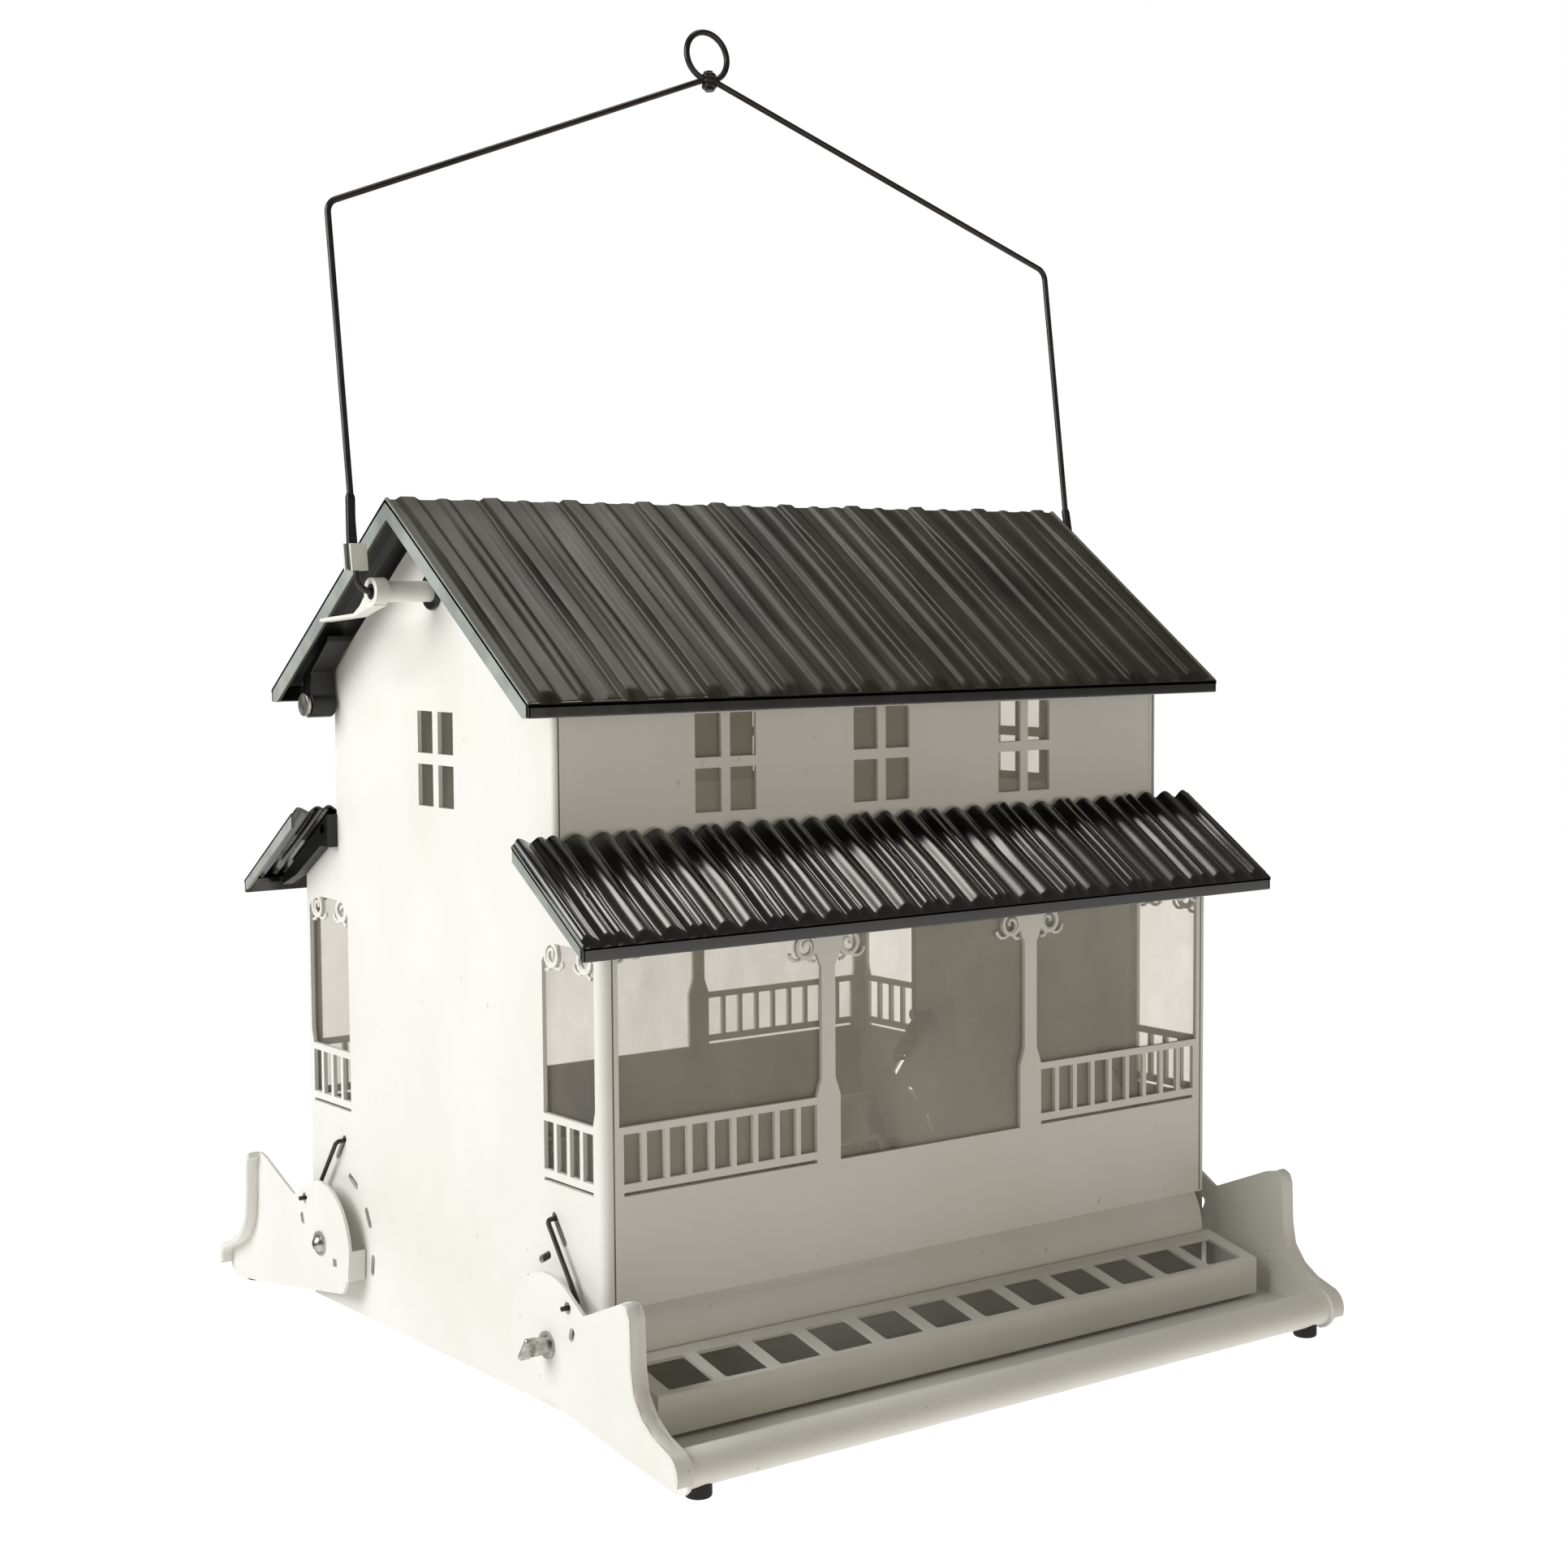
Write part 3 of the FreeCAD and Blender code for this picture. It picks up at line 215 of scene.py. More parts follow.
def clear_polycarbonate(name, haze_low, haze_high):
    """Extruded clear polycarbonate sheet.

    The eye looks straight through it; it shows as a mirror at a slant and as a faint haze of
    seed dust and fine scratches, whose share of the surface runs from haze_low to haze_high.
    """
    material = bpy.data.materials.new(name)
    material.use_nodes = True
    tree = material.node_tree
    tree.nodes.clear()
    where = add(tree, "TexCoord").outputs["Object"]
    clear = add(tree, "BsdfTransparent", {"Color": linear("#fdfcfa")})
    waves = add(tree, "TexNoise", {"Vector": stretched(tree, where, 50, 50, 30),
                                   "Scale": 1.0, "Detail": 1.0})
    ripple = add(tree, "Bump", {"Strength": 0.2, "Distance": 0.4 * MM,
                                "Height": waves.outputs["Fac"]})
    mirror = add(tree, "BsdfGlossy", {"Roughness": 0.06, "Normal": ripple.outputs[0]})
    dust = add(tree, "BsdfDiffuse", {"Color": linear("#e4dccb")})
    smudge = add(tree, "TexNoise", {"Vector": stretched(tree, where, 20, 20, 35),
                                    "Scale": 1.0, "Detail": 5.0, "Roughness": 0.7})
    haze = add(tree, "MapRange", {"Value": smudge.outputs["Fac"], "From Min": 0.35,
                                  "From Max": 0.75, "To Min": haze_low, "To Max": haze_high})
    hazed = add(tree, "MixShader", {0: haze.outputs[0], 1: clear.outputs[0],
                                    2: dust.outputs[0]})
    facing = add(tree, "LayerWeight", {"Blend": 0.5})
    curve = add(tree, "Math", {0: facing.outputs["Facing"], 1: 4.0}, operation="POWER")
    slant = add(tree, "MapRange", {"Value": curve.outputs[0], "To Min": 0.035, "To Max": 0.8})
    sheet = add(tree, "MixShader", {0: slant.outputs[0], 1: hazed.outputs[0],
                                    2: mirror.outputs[0]})
    add(tree, "OutputMaterial", {"Surface": sheet.outputs[0]})
    return material


def zinc_plate(name, body, shade, roughness):
    """Bright zinc-plated steel: a cool metal with fine draw lines and cloudy dull patches."""
    material, tree, shader, where = finish_material(name, Metallic=1.0)
    clouds = add(tree, "TexNoise", {"Vector": stretched(tree, where, 3, 3, 3),
                                    "Scale": 1.0, "Detail": 4.0, "Roughness": 0.65})
    tone = add(tree, "ValToRGB", {"Fac": clouds.outputs["Fac"]},
               stops=((0.35, linear(shade)), (0.65, linear(body))))
    tree.links.new(tone.outputs[0], shader.inputs["Base Color"])
    rough = add(tree, "MapRange", {"Value": clouds.outputs["Fac"], "To Min": roughness - 0.1,
                                   "To Max": roughness + 0.15})
    tree.links.new(rough.outputs[0], shader.inputs["Roughness"])
    lines = add(tree, "TexNoise", {"Vector": stretched(tree, where, 6, 0.4, 0.4),
                                   "Scale": 1.0, "Detail": 2.0})
    brushed = add(tree, "Bump", {"Strength": 0.25, "Distance": 0.03 * MM,
                                 "Height": lines.outputs["Fac"]})
    tree.links.new(brushed.outputs[0], shader.inputs["Normal"])
    return material


def moulded(name, body, shade, roughness, grain=0.8):
    """Moulded nylon or rubber, a thin lacquer, or a flat colour painted as shade or as a
    reflection.

    The eye sees an even colour with a soft gloss, and a fine grain, given in millimetres.
    """
    material, tree, shader, where = finish_material(name)
    clouds = add(tree, "TexNoise", {"Vector": stretched(tree, where, 12, 12, 12),
                                    "Scale": 1.0, "Detail": 3.0})
    tone = add(tree, "ValToRGB", {"Fac": clouds.outputs["Fac"]},
               stops=((0.4, linear(shade)), (0.65, linear(body))))
    tree.links.new(tone.outputs[0], shader.inputs["Base Color"])
    mould = add(tree, "TexNoise", {"Vector": stretched(tree, where, grain, grain, grain),
                                   "Scale": 1.0, "Detail": 2.0})
    rough = add(tree, "MapRange", {"Value": mould.outputs["Fac"], "To Min": roughness - 0.08,
                                   "To Max": roughness + 0.1})
    tree.links.new(rough.outputs[0], shader.inputs["Roughness"])
    bump = add(tree, "Bump", {"Strength": 0.3, "Distance": 0.05 * MM,
                              "Height": mould.outputs["Fac"]})
    tree.links.new(bump.outputs[0], shader.inputs["Normal"])
    return material


finishes = {
    # the third colour of each roof is the painted highlight along its rib crests
    "roof_paint": roof_coat("charcoal_roof_enamel", "#191913", "#45453a", "#8b897b",
                            0.28, 0.42, 0.36, 0.0),
    "porch_roof_enamel": roof_coat("gloss_black_enamel", "#030303", "#0a0a09", "#121211",
                                   0.15, 0.24, 0.8, 1.0),
    # painted shade: the roof's underside is coloured near black for the shade under the roof
    "roof_underside": moulded("roof_underside_painted_shade", "#11120f", "#0a0b09", 0.5),
    "wall_paint": powder_coat("ivory_powder_coat", "#eae9e4", "#e3e2da", "#a8a498"),
    "clear_pane": clear_polycarbonate("clear_polycarbonate", 0.13, 0.22),
    "clean_pane": clear_polycarbonate("clean_clear_polycarbonate", 0.015, 0.05),
    # painted reflection: the rake edges' outer sides are coloured light grey for a lamp's
    # reflection
    "rake_edge": moulded("rake_edge_painted_reflection", "#a3a9a4", "#8b918c", 0.36),
    "zinc_steel": zinc_plate("bright_zinc_plate", "#c9c8c2", "#97958e", 0.3),
    "bail_wire": moulded("brown_lacquered_wire", "#2c2320", "#17110f", 0.32, grain=5.0),
    "black_plastic": moulded("black_moulded_nylon", "#0e0e0e", "#060606", 0.38),
    "white_plastic": moulded("white_moulded_nylon", "#e4e3de", "#d3d1ca", 0.35),
    # painted shadow: a grey strip stands for the shadow in the gap at each wall seam
    "seam_painted_shadow": moulded("grey_painted_seam_shadow", "#77776b", "#66665b", 0.6),
    "rubber": moulded("black_moulded_rubber", "#1b1a18", "#100f0e", 0.62),
}


# ------------------------------------------------------------------ mesh helpers
def piece(name, mesh, body, slot, nodes=()):
    """Put a finished mesh in the scene, on its body, with its finish, in place of CAD nodes."""
    item = bpy.data.objects.new(name, mesh)
    bpy.context.scene.collection.objects.link(item)
    mesh.materials.clear()
    mesh.materials.append(finishes[slot])
    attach(item, body)
    # trim finishes that only exist here, such as the grey strip painted as the seams' shadow, have
    # no slot in the record
    if nodes:
        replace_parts(item, *nodes)
    return item


def smooth_faces(mesh, sharp_degrees):
    """Smooth shading that stays sharp where faces meet at more than the angle."""
    for face in mesh.polygons:
        face.use_smooth = True
    mesh.set_sharp_from_angle(angle=math.radians(sharp_degrees))


# radius on the hard edges of the pieces of each material
EDGE = {"wall_paint": 0.3 * MM, "zinc_steel": 0.25 * MM, "black_plastic": 0.4 * MM,
        "white_plastic": 0.4 * MM, "rubber": 0.3 * MM, "bail_wire": 0.1 * MM,
        "clear_pane": 0.08 * MM}


def softened(node):
    """Stand in for a CAD node with a copy whose hard edges carry a small rolled radius."""
    source = frame["nodes"][node].data
    work = bmesh.new()
    work.from_mesh(source)
    bmesh.ops.remove_doubles(work, verts=work.verts, dist=2e-6)
    bmesh.ops.dissolve_limit(work, angle_limit=math.radians(0.6), verts=work.verts,
                             edges=work.edges)
    hard = [edge for edge in work.edges
            if len(edge.link_faces) == 2 and edge.calc_face_angle(0) > math.radians(32)]
    bmesh.ops.bevel(work, geom=hard, offset=EDGE[slot_of[node]], segments=2, profile=0.5,
                    affect="EDGES", clamp_overlap=True)
    mesh = bpy.data.meshes.new(node + "_soft")
    work.to_mesh(mesh)
    work.free()
    smooth_faces(mesh, 50)
    item = piece(node + "_soft", mesh, body_of[node], slot_of[node], [node])
    weighted = item.modifiers.new("even_normals", "WEIGHTED_NORMAL")
    weighted.keep_sharp = True
    return item


def grid_surface(columns, rows):
    """Faces of a grid of points numbered row by row."""
    faces = []
    for j in range(rows - 1):
        for i in range(columns - 1):
            a = j * columns + i
            faces.append((a, a + 1, a + 1 + columns, a + columns))
    return faces


def closed_sheet(name, top, bottom, columns, rows):
    """Thin sheet from two grids of points, closed along its four edges."""
    count = columns * rows
    faces = grid_surface(columns, rows)
    faces += [tuple(count + v for v in reversed(face)) for face in grid_surface(columns, rows)]
    rim = (list(range(columns))
           + [j * columns + columns - 1 for j in range(1, rows)]
           + [(rows - 1) * columns + i for i in range(columns - 2, -1, -1)]
           + [j * columns for j in range(rows - 2, 0, -1)])
    for a, b in zip(rim, rim[1:] + rim[:1]):
        faces.append((b, a, count + a, count + b))
    mesh = bpy.data.meshes.new(name)
    mesh.from_pydata([tuple(v) for v in top + bottom], [], faces)
    mesh.update()
    return mesh


def smoothstep(low, high, value):
    """0 below low, 1 above high and a soft S between them."""
    t = min(max((value - low) / (high - low), 0.0), 1.0)
    return t * t * (3 - 2 * t)


# ------------------------------------------------------------------ main roof
# millimetres from under the ridge at the gables' bottom edge
ROOF_HALF = 150.0     # half its length
ROOF_EAVE = 90.0      # from the ridge's line to the eave
ROOF_RIDGE = 293.3
ROOF_FALL = 0.7311    # drop per unit of depth
ROOF_RAKE = 7.6       # depth of the folded rake edge at the ridge
ROOF_FASCIA = 4.8     # depth of the folded eave edge
ROOF_SINK = 0.45      # how far the flat of the sheet lies under the ridge's own height
ROOF_SHEET = 1.1      # height of the ribbed sheet's own thickness
FOLD_SHEET = 1.5      # thickness of the folded edges
RIB_PITCH = 31.45
RIB_FIRST = -141.5
# offset from the main rib's middle, height, half width of the crest, width of each flank
RIBS = ((0.0, 2.3, 2.4, 2.4), (13.0, 1.15, 0.9, 2.4), (23.6, 0.75, 1.1, 2.6))
RIB_DRAWS = 60
rib_scale = [chance.uniform(0.85, 1.1) for _ in range(RIB_DRAWS)]
rib_shift = [chance.uniform(-0.5, 0.5) for _ in range(RIB_DRAWS)]


def rib(off, height, crest, flank):
    """Rounded trapezium of a pressed rib, off being the distance from its middle."""
    return height * (1 - smoothstep(crest, crest + flank, abs(off)))


def rib_end(start, down):
    """How the ribs round off into the fold at the eave, from the start of the rounding."""
    return math.sqrt(max(0.0, 1 - smoothstep(start, 1.0, down) ** 2))


def main_rib_height(x, down):
    """Height of the pressed ribs above the sheet; down runs from 0 at the ridge to 1."""
    # the ribs wander a little and the sheet between them isn't quite flat
    x += 0.45 * noise.noise(Vector((x * 0.02, down * 2.3, 1.7)))
    total, order = 0.0, 0
    for i in range(10):
        centre = RIB_FIRST + i * RIB_PITCH
        for offset, height, crest, flank in RIBS:
            order += 1
            off = x - centre - offset - rib_shift[order]
            if abs(off) < 6:
                total += rib_scale[order] * rib(off, height, crest, flank)
    total += 0.30 * noise.noise(Vector((x * 0.12, down * 0.9, 4.2)))
    total += 0.35 * noise.noise(Vector((x * 0.035, down * 3.0, 8.8)))
    return total


def main_roof_side(name, side):
    """One slope of the roof as a ribbed sheet; side is -1 in front and 1 at the rear."""
    columns, rows = 521, 58
    top, bottom = [], []
    for j in range(rows):
        down = (j / (rows - 1)) ** 0.9
        depth = ROOF_EAVE * down
        crown = smoothstep(-0.02, 0.10, down)
        rise = 0.5 + 0.5 * smoothstep(0.0, 0.4, down)
        for i in range(columns):
            x = -ROOF_HALF + 2 * ROOF_HALF * i / (columns - 1)
            end = smoothstep(0.0, 3.5, ROOF_HALF - abs(x))
            lift = main_rib_height(x, down) * end * rise * rib_end(0.972, down)
            z = ROOF_RIDGE - ROOF_FALL * depth - 0.35 * (1 - crown) + lift - ROOF_SINK
            top.append(place(x, side * depth, z))
            bottom.append(place(x, side * depth, z - ROOF_SHEET))
    mesh = closed_sheet(name, top, bottom, columns, rows)
    if side > 0:
        mesh.flip_normals()
    smooth_faces(mesh, 60)
    item = piece(name, mesh, "roof", "roof_paint")
    # the underside faces get the near-black painted shade
    mesh.materials.append(finishes["roof_underside"])
    for polygon in mesh.polygons:
        polygon.material_index = int(polygon.index >= (columns - 1) * (rows - 1))
    return item


def profile_bar(name, outline, start, end, edge, body, slot, outer=None):
    """Bar with the outline (points in metres) at start, carried to end, edges rolled.

    outer is the sign along X of the side coloured light grey as a painted reflection, if one is.
    """
    work = bmesh.new()
    shift = Vector(end) - Vector(start)
    first = [work.verts.new(point) for point in outline]
    last = [work.verts.new(point + shift) for point in outline]
    work.faces.new(first)
    work.faces.new(last[::-1])
    for k in range(len(outline)):
        work.faces.new((first[k], first[k - 1], last[k - 1], last[k]))
    bmesh.ops.recalc_face_normals(work, faces=work.faces)
    if edge:
        bmesh.ops.bevel(work, geom=work.edges[:], offset=edge, segments=3,
                        profile=0.5, affect="EDGES", clamp_overlap=True)
    mesh = bpy.data.meshes.new(name)
    work.to_mesh(mesh)
    work.free()
    smooth_faces(mesh, 50)
    item = piece(name, mesh, body, slot)
    if outer:
        # the outer side gets the light grey painted reflection
        mesh.materials.append(finishes["rake_edge"])
        for polygon in mesh.polygons:
            polygon.material_index = int(polygon.normal.x * outer > 0.6)
    item.modifiers.new("even_normals", "WEIGHTED_NORMAL").keep_sharp = True
    return item


def folded_eave(name, side, half, eave, eave_z, depth, sheet, edge, body):
    """Edge folded down along the eave of a roof that is half long each way."""
    outer, inner = side * eave, side * (eave - sheet)
    outline = [(outer, eave_z - depth), (outer, eave_z - 0.2), (inner, eave_z + 0.5),
               (inner, eave_z - depth)]
    points = [place(-half, y, z) for y, z in outline]
    profile_bar(name, points, place(-half, 0, 0), place(half, 0, 0), edge, body,
                "porch_roof_enamel")


def folded_rake(name, sign, half, outline, body, slot):
    """Edge folded down along the rake at one end of a roof, its outer side coloured light grey as
    a painted reflection.
    """
    x0, x1 = sorted((sign * half, sign * (half - FOLD_SHEET)))
    points = [place(x0, y, z) for y, z in outline]
    profile_bar(name, points, place(x0, 0, 0), place(x1, 0, 0), 0.5 * MM, body, slot, sign)


def main_roof():
    """Both slopes of the hinged roof, its folded eaves and its folded rake edges."""
    front = main_roof_side("main_roof_front_slope", -1)
    main_roof_side("main_roof_rear_slope", 1)
    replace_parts(front, "main_roof")
    eave_z = ROOF_RIDGE - ROOF_FALL * ROOF_EAVE
    for side, label in ((-1, "front"), (1, "rear")):
        folded_eave("main_roof_fascia_" + label, side, ROOF_HALF, ROOF_EAVE, eave_z,
                    ROOF_FASCIA, FOLD_SHEET, 0.45 * MM, "roof")
    low = eave_z - ROOF_FASCIA
    outline = [(-ROOF_EAVE, eave_z), (0, ROOF_RIDGE), (ROOF_EAVE, eave_z), (ROOF_EAVE, low),
               (ROOF_EAVE - 4, low), (0, ROOF_RIDGE - ROOF_RAKE), (-ROOF_EAVE + 4, low),
               (-ROOF_EAVE, low)]
    for sign, label in ((-1, "left"), (1, "right")):
        folded_rake("main_roof_rake_" + label, sign, ROOF_HALF, outline, "roof", "roof_paint")


# ------------------------------------------------------------------ porch roofs
# the same measures of a porch roof
PORCH_HALF = 149.3
PORCH_TOP = 77.7      # depth of the sheet's upper edge
PORCH_HIGH = 183.2    # and its height
PORCH_EAVE = 118.5
PORCH_FALL = 0.6765
PORCH_FASCIA = 4.9
PORCH_FOLD = 1.6      # thickness of the folded eave
PORCH_RAKE = 5.6
PORCH_SINK = 0.4
PORCH_SHEET = 0.9
PORCH_RIB = 2.7       # height of a full rib
PORCH_RIB_FIRST = RIB_FIRST + 5.0
# offset from the main rib's middle, height and half width of each round crest
PORCH_RIBS = ((-2.3, 0.95, 3.6), (1.6, 1.0, 3.4), (10.4, 0.96, 4.6), (20.6, 0.96, 4.6))
porch_scale = [chance.uniform(0.85, 1.08) for _ in range(RIB_DRAWS)]
porch_shift = [chance.uniform(-0.6, 0.6) for _ in range(RIB_DRAWS)]


def porch_rib_height(x, down):
    """Corrugation of the porch roof: every third rib is wide, with a groove along its crest."""
    x += 0.5 * noise.noise(Vector((x * 0.03, down * 2.0, 3.3)))
    highest, order = 0.0, 0
    for i in range(-1, 10):
        centre = PORCH_RIB_FIRST + i * RIB_PITCH
        for offset, height, half in PORCH_RIBS:
            order += 1
            off = (x - centre - offset - porch_shift[order]) / half
            if abs(off) < 1.25:
                crown = math.cos(off * math.pi / 2.5) ** 1.6
                highest = max(highest, porch_scale[order] * height * crown)
    highest += 0.03 * noise.noise(Vector((x * 0.12, down * 1.5, 6.1)))
    return PORCH_RIB * highest


def porch_roof(label, side):
    """One porch roof: ribbed sheet, folded eave and rake edges."""
    columns, rows = 901, 36
    top, bottom = [], []
    for j in range(rows):
        down = j / (rows - 1)
        depth = PORCH_TOP + (PORCH_EAVE - PORCH_TOP) * down
        for i in range(columns):
            x = -PORCH_HALF + 2 * PORCH_HALF * i / (columns - 1)
            end = smoothstep(0.0, 2.5, PORCH_HALF - abs(x))
            z = PORCH_HIGH - PORCH_FALL * (depth - PORCH_TOP) - PORCH_SINK
            z += porch_rib_height(x, down) * end * rib_end(0.96, down)
            top.append(place(x, side * depth, z))
            bottom.append(place(x, side * depth, z - PORCH_SHEET))
    name = "porch_roof_sheet_" + label
    mesh = closed_sheet(name, top, bottom, columns, rows)
    if side > 0:
        mesh.flip_normals()
    smooth_faces(mesh, 60)
    piece(name, mesh, "house", "porch_roof_enamel", ["porch_roof_" + label])
    eave_z = PORCH_HIGH - PORCH_FALL * (PORCH_EAVE - PORCH_TOP)
    folded_eave("porch_fascia_" + label, side, PORCH_HALF, PORCH_EAVE, eave_z, PORCH_FASCIA,
                PORCH_FOLD, 0.5 * MM, "house")
    outline = [(side * PORCH_TOP, PORCH_HIGH), (side * PORCH_EAVE, eave_z),
               (side * PORCH_EAVE, eave_z - PORCH_FASCIA),
               (side * PORCH_TOP, PORCH_HIGH - PORCH_RAKE)]
    for sign, end in ((-1, "left"), (1, "right")):
        folded_rake("porch_rake_%s_%s" % (label, end), sign, PORCH_HALF, outline, "house",
                    "porch_roof_enamel")


# ------------------------------------------------------------------ wires
def wire(name, lines, radius, body, slot, nodes=(), around=4):
    """Round wire along each line of points; more around makes it rounder."""
    curve = bpy.data.curves.new(name, "CURVE")
    curve.dimensions = "3D"
    curve.bevel_depth = radius
    curve.bevel_resolution = around
    curve.use_fill_caps = True
    for points in lines:
        spline = curve.splines.new("POLY")
        spline.points.add(len(points) - 1)
        for point, spot in zip(spline.points, points):
            point.co = (*spot, 1)
        spline.use_smooth = True
    holder = bpy.data.objects.new(name + "_line", curve)
    mesh = bpy.data.meshes.new_from_object(holder)
    bpy.data.objects.remove(holder)
    bpy.data.curves.remove(curve)
    mesh.name = name
    smooth_faces(mesh, 60)
    return piece(name, mesh, body, slot, nodes)


SPRING_LENGTH = 24.0 * MM
SPRING_RADIUS = 2.05 * MM
SPRING_WIRE = 0.35 * MM
SPRING_TURNS = 22
SPRING_HOOK = 1.6 * MM


def spring_hook(end, outward, sideways):
    """Half loop that stands out from one end of a spring's coil."""
    turns = [math.pi * k / 8 for k in range(9)]
    return [end + outward * SPRING_HOOK * (1 + math.sin(turn)) * 0.9
            + sideways * SPRING_RADIUS * math.cos(turn) * 0.8 for turn in turns]


def spring(node, side):
    """Close-wound extension spring with a hook at each end, along its link wire's slide."""
    low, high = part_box(node)
    axis = -Vector(joints["link_slide_" + side]["axis"]).normalized()
    across = Vector((1, 0, 0))
    other = axis.cross(across)
    start = (low + high) / 2 - axis * SPRING_LENGTH / 2
    per_turn = 14
    steps = SPRING_TURNS * per_turn
    coil = []
    for k in range(steps + 1):
        angle = 2 * math.pi * k / per_turn
        coil.append(start + axis * SPRING_LENGTH * k / steps
                    + (other * math.cos(angle) + across * math.sin(angle)) * SPRING_RADIUS)
    points = spring_hook(start, -axis, -other)[::-1] + coil
    points += spring_hook(start + axis * SPRING_LENGTH, axis, other)
    wire("coil_" + node, [points], SPRING_WIRE, "house", "zinc_steel", [node], around=2)


# ------------------------------------------------------------------ trim
SCROLL_WIRE = 0.62 * MM
SCROLL_STEPS = 44
SCROLL_RISE = 4.6      # stem of a scroll that hangs close under its beam
POST_DROP = 11.0       # the scrolls beside a post's capital hang lower
POST = 44.7            # middle of a porch post
POST_REACH = 8.8       # from there to its scrolls
CORNER = 123.15        # middle of the scroll in a porch wall's corner
CORNER_DROP = 4.3
BEAM = 5.5             # height of the beam over a porch wall's openings
PORCH_FACE = 102.05    # middle of a porch wall's sheet
GABLE_FACE = 131.95    # middle of a gable's sheet
GABLE_SCROLL = 146.85  # height of the scrolls in the gables
GABLE_NEAR = 72.8      # depth of the scrolls at each side of a gable's opening
GABLE_FAR = 92.5


def curl(centre, across, rise):
    """Lines of one gingerbread scroll: spiral, pointed tail, bud, and stem up to the beam.

    The turns are in degrees from across, and the radii and rise in millimetres.
    """
    up = Vector((0, 0, 1))

    def at(degrees, radius):
        turn = math.radians(degrees)
        return centre + (across * math.cos(turn) + up * math.sin(turn)) * radius * MM

    spiral = [at(100 - 470 * k / SCROLL_STEPS, 3.7 * (1 - k / SCROLL_STEPS) ** 0.8 + 0.5)
              for k in range(SCROLL_STEPS + 1)]
    tail = [at(-70, 3.9), at(-58, 5.2), at(-44, 6.3), at(-28, 6.9), at(-16, 6.8)]
    bud = [at(-105, 3.9), at(-112, 5.4), at(-125, 6.4)]
    stem = [at(75, 3.9), at(72, 4.6), at(84, 6.0), centre + up * rise * MM]
    return [spiral, tail, bud, stem]


def scrollwork():
    """Scrolls beside the porch posts and in the upper corners of all the openings."""
    for side, sign in (("front", -1), ("rear", 1)):
        beam_low = (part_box("porch_wall_" + side)[1].z - ground_z) / MM - BEAM
        y = sign * PORCH_FACE
        lines = []
        for post in (-POST, POST):
            for way in (-1, 1):
                lines += curl(place(post + way * POST_REACH, y, beam_low - POST_DROP),
                              Vector((way, 0, 0)), POST_DROP)
        for end in (-1, 1):
            lines += curl(place(end * CORNER, y, beam_low - CORNER_DROP),
                          Vector((-end, 0, 0)), SCROLL_RISE)
        wire("porch_scrolls_" + side, lines, SCROLL_WIRE, "house", "wall_paint")
    for side, sign in (("left", -1), ("right", 1)):
        lines = []
        for far in (-1, 1):
            for depth, way in ((GABLE_NEAR, far), (GABLE_FAR, -far)):
                lines += curl(place(sign * GABLE_FACE, far * depth, GABLE_SCROLL),
                              Vector((0, way, 0)), SCROLL_RISE)
        wire("gable_scrolls_" + side, lines, SCROLL_WIRE, "house", "wall_paint")


def rounded_line(points, rounds=3):
    """Corner-cutting subdivision of a line that keeps its two ends."""
    for _ in range(rounds):
        cut = [points[0]]
        for a, b in zip(points, points[1:]):
            cut += [a.lerp(b, 0.25), a.lerp(b, 0.75)]
        points = cut + [points[-1]]
    return points


def rolled_bead(name, path, across, half_width, half_depth, body, slot):
    """Soft-cornered solid section carried along the path, a little thinner at its two ends."""
    around, corner = 20, 0.65
    work = bmesh.new()
    rings = []
    for i, spot in enumerate(path):
        along = (path[min(i + 1, len(path) - 1)] - path[max(i - 1, 0)]).normalized()
        side = along.cross(across).normalized()
        taper = min(1.0, 0.55 + 0.45 * min(i, len(path) - 1 - i) / 3)
        ring = []
        for k in range(around):
            turn = 2 * math.pi * k / around
            a = math.copysign(abs(math.cos(turn)) ** corner, math.cos(turn)) * half_width
            b = math.copysign(abs(math.sin(turn)) ** corner, math.sin(turn)) * half_depth
            ring.append(work.verts.new(spot + (across * a + side * b) * taper))
        rings.append(ring)
    for first, second in zip(rings, rings[1:]):
        for k in range(around):
            m = (k + 1) % around
            work.faces.new((first[k], first[m], second[m], second[k]))
    work.faces.new(list(reversed(rings[0])))
    work.faces.new(rings[-1])
    bmesh.ops.recalc_face_normals(work, faces=work.faces)
    mesh = bpy.data.meshes.new(name)
    work.to_mesh(mesh)
    work.free()
    smooth_faces(mesh, 70)
    return piece(name, mesh, body, slot)


def level_ring(node, sign, pick):
    """Corners of a node's top (max) or bottom (min) level on one side of the feeder."""
    spots = [v.co.copy() for v in frame["nodes"][node].data.vertices if v.co.x * sign > 0]
    level = pick(v.z for v in spots)
    # the bail leans, so its ends are a little off level
    return [v for v in spots if abs(v.z - level) < 0.9 * MM]


def ring_middle(ring):
    """Middle of the box around a ring of corners."""
    return Vector([(min(v[k] for v in ring) + max(v[k] for v in ring)) / 2 for k in range(3)])


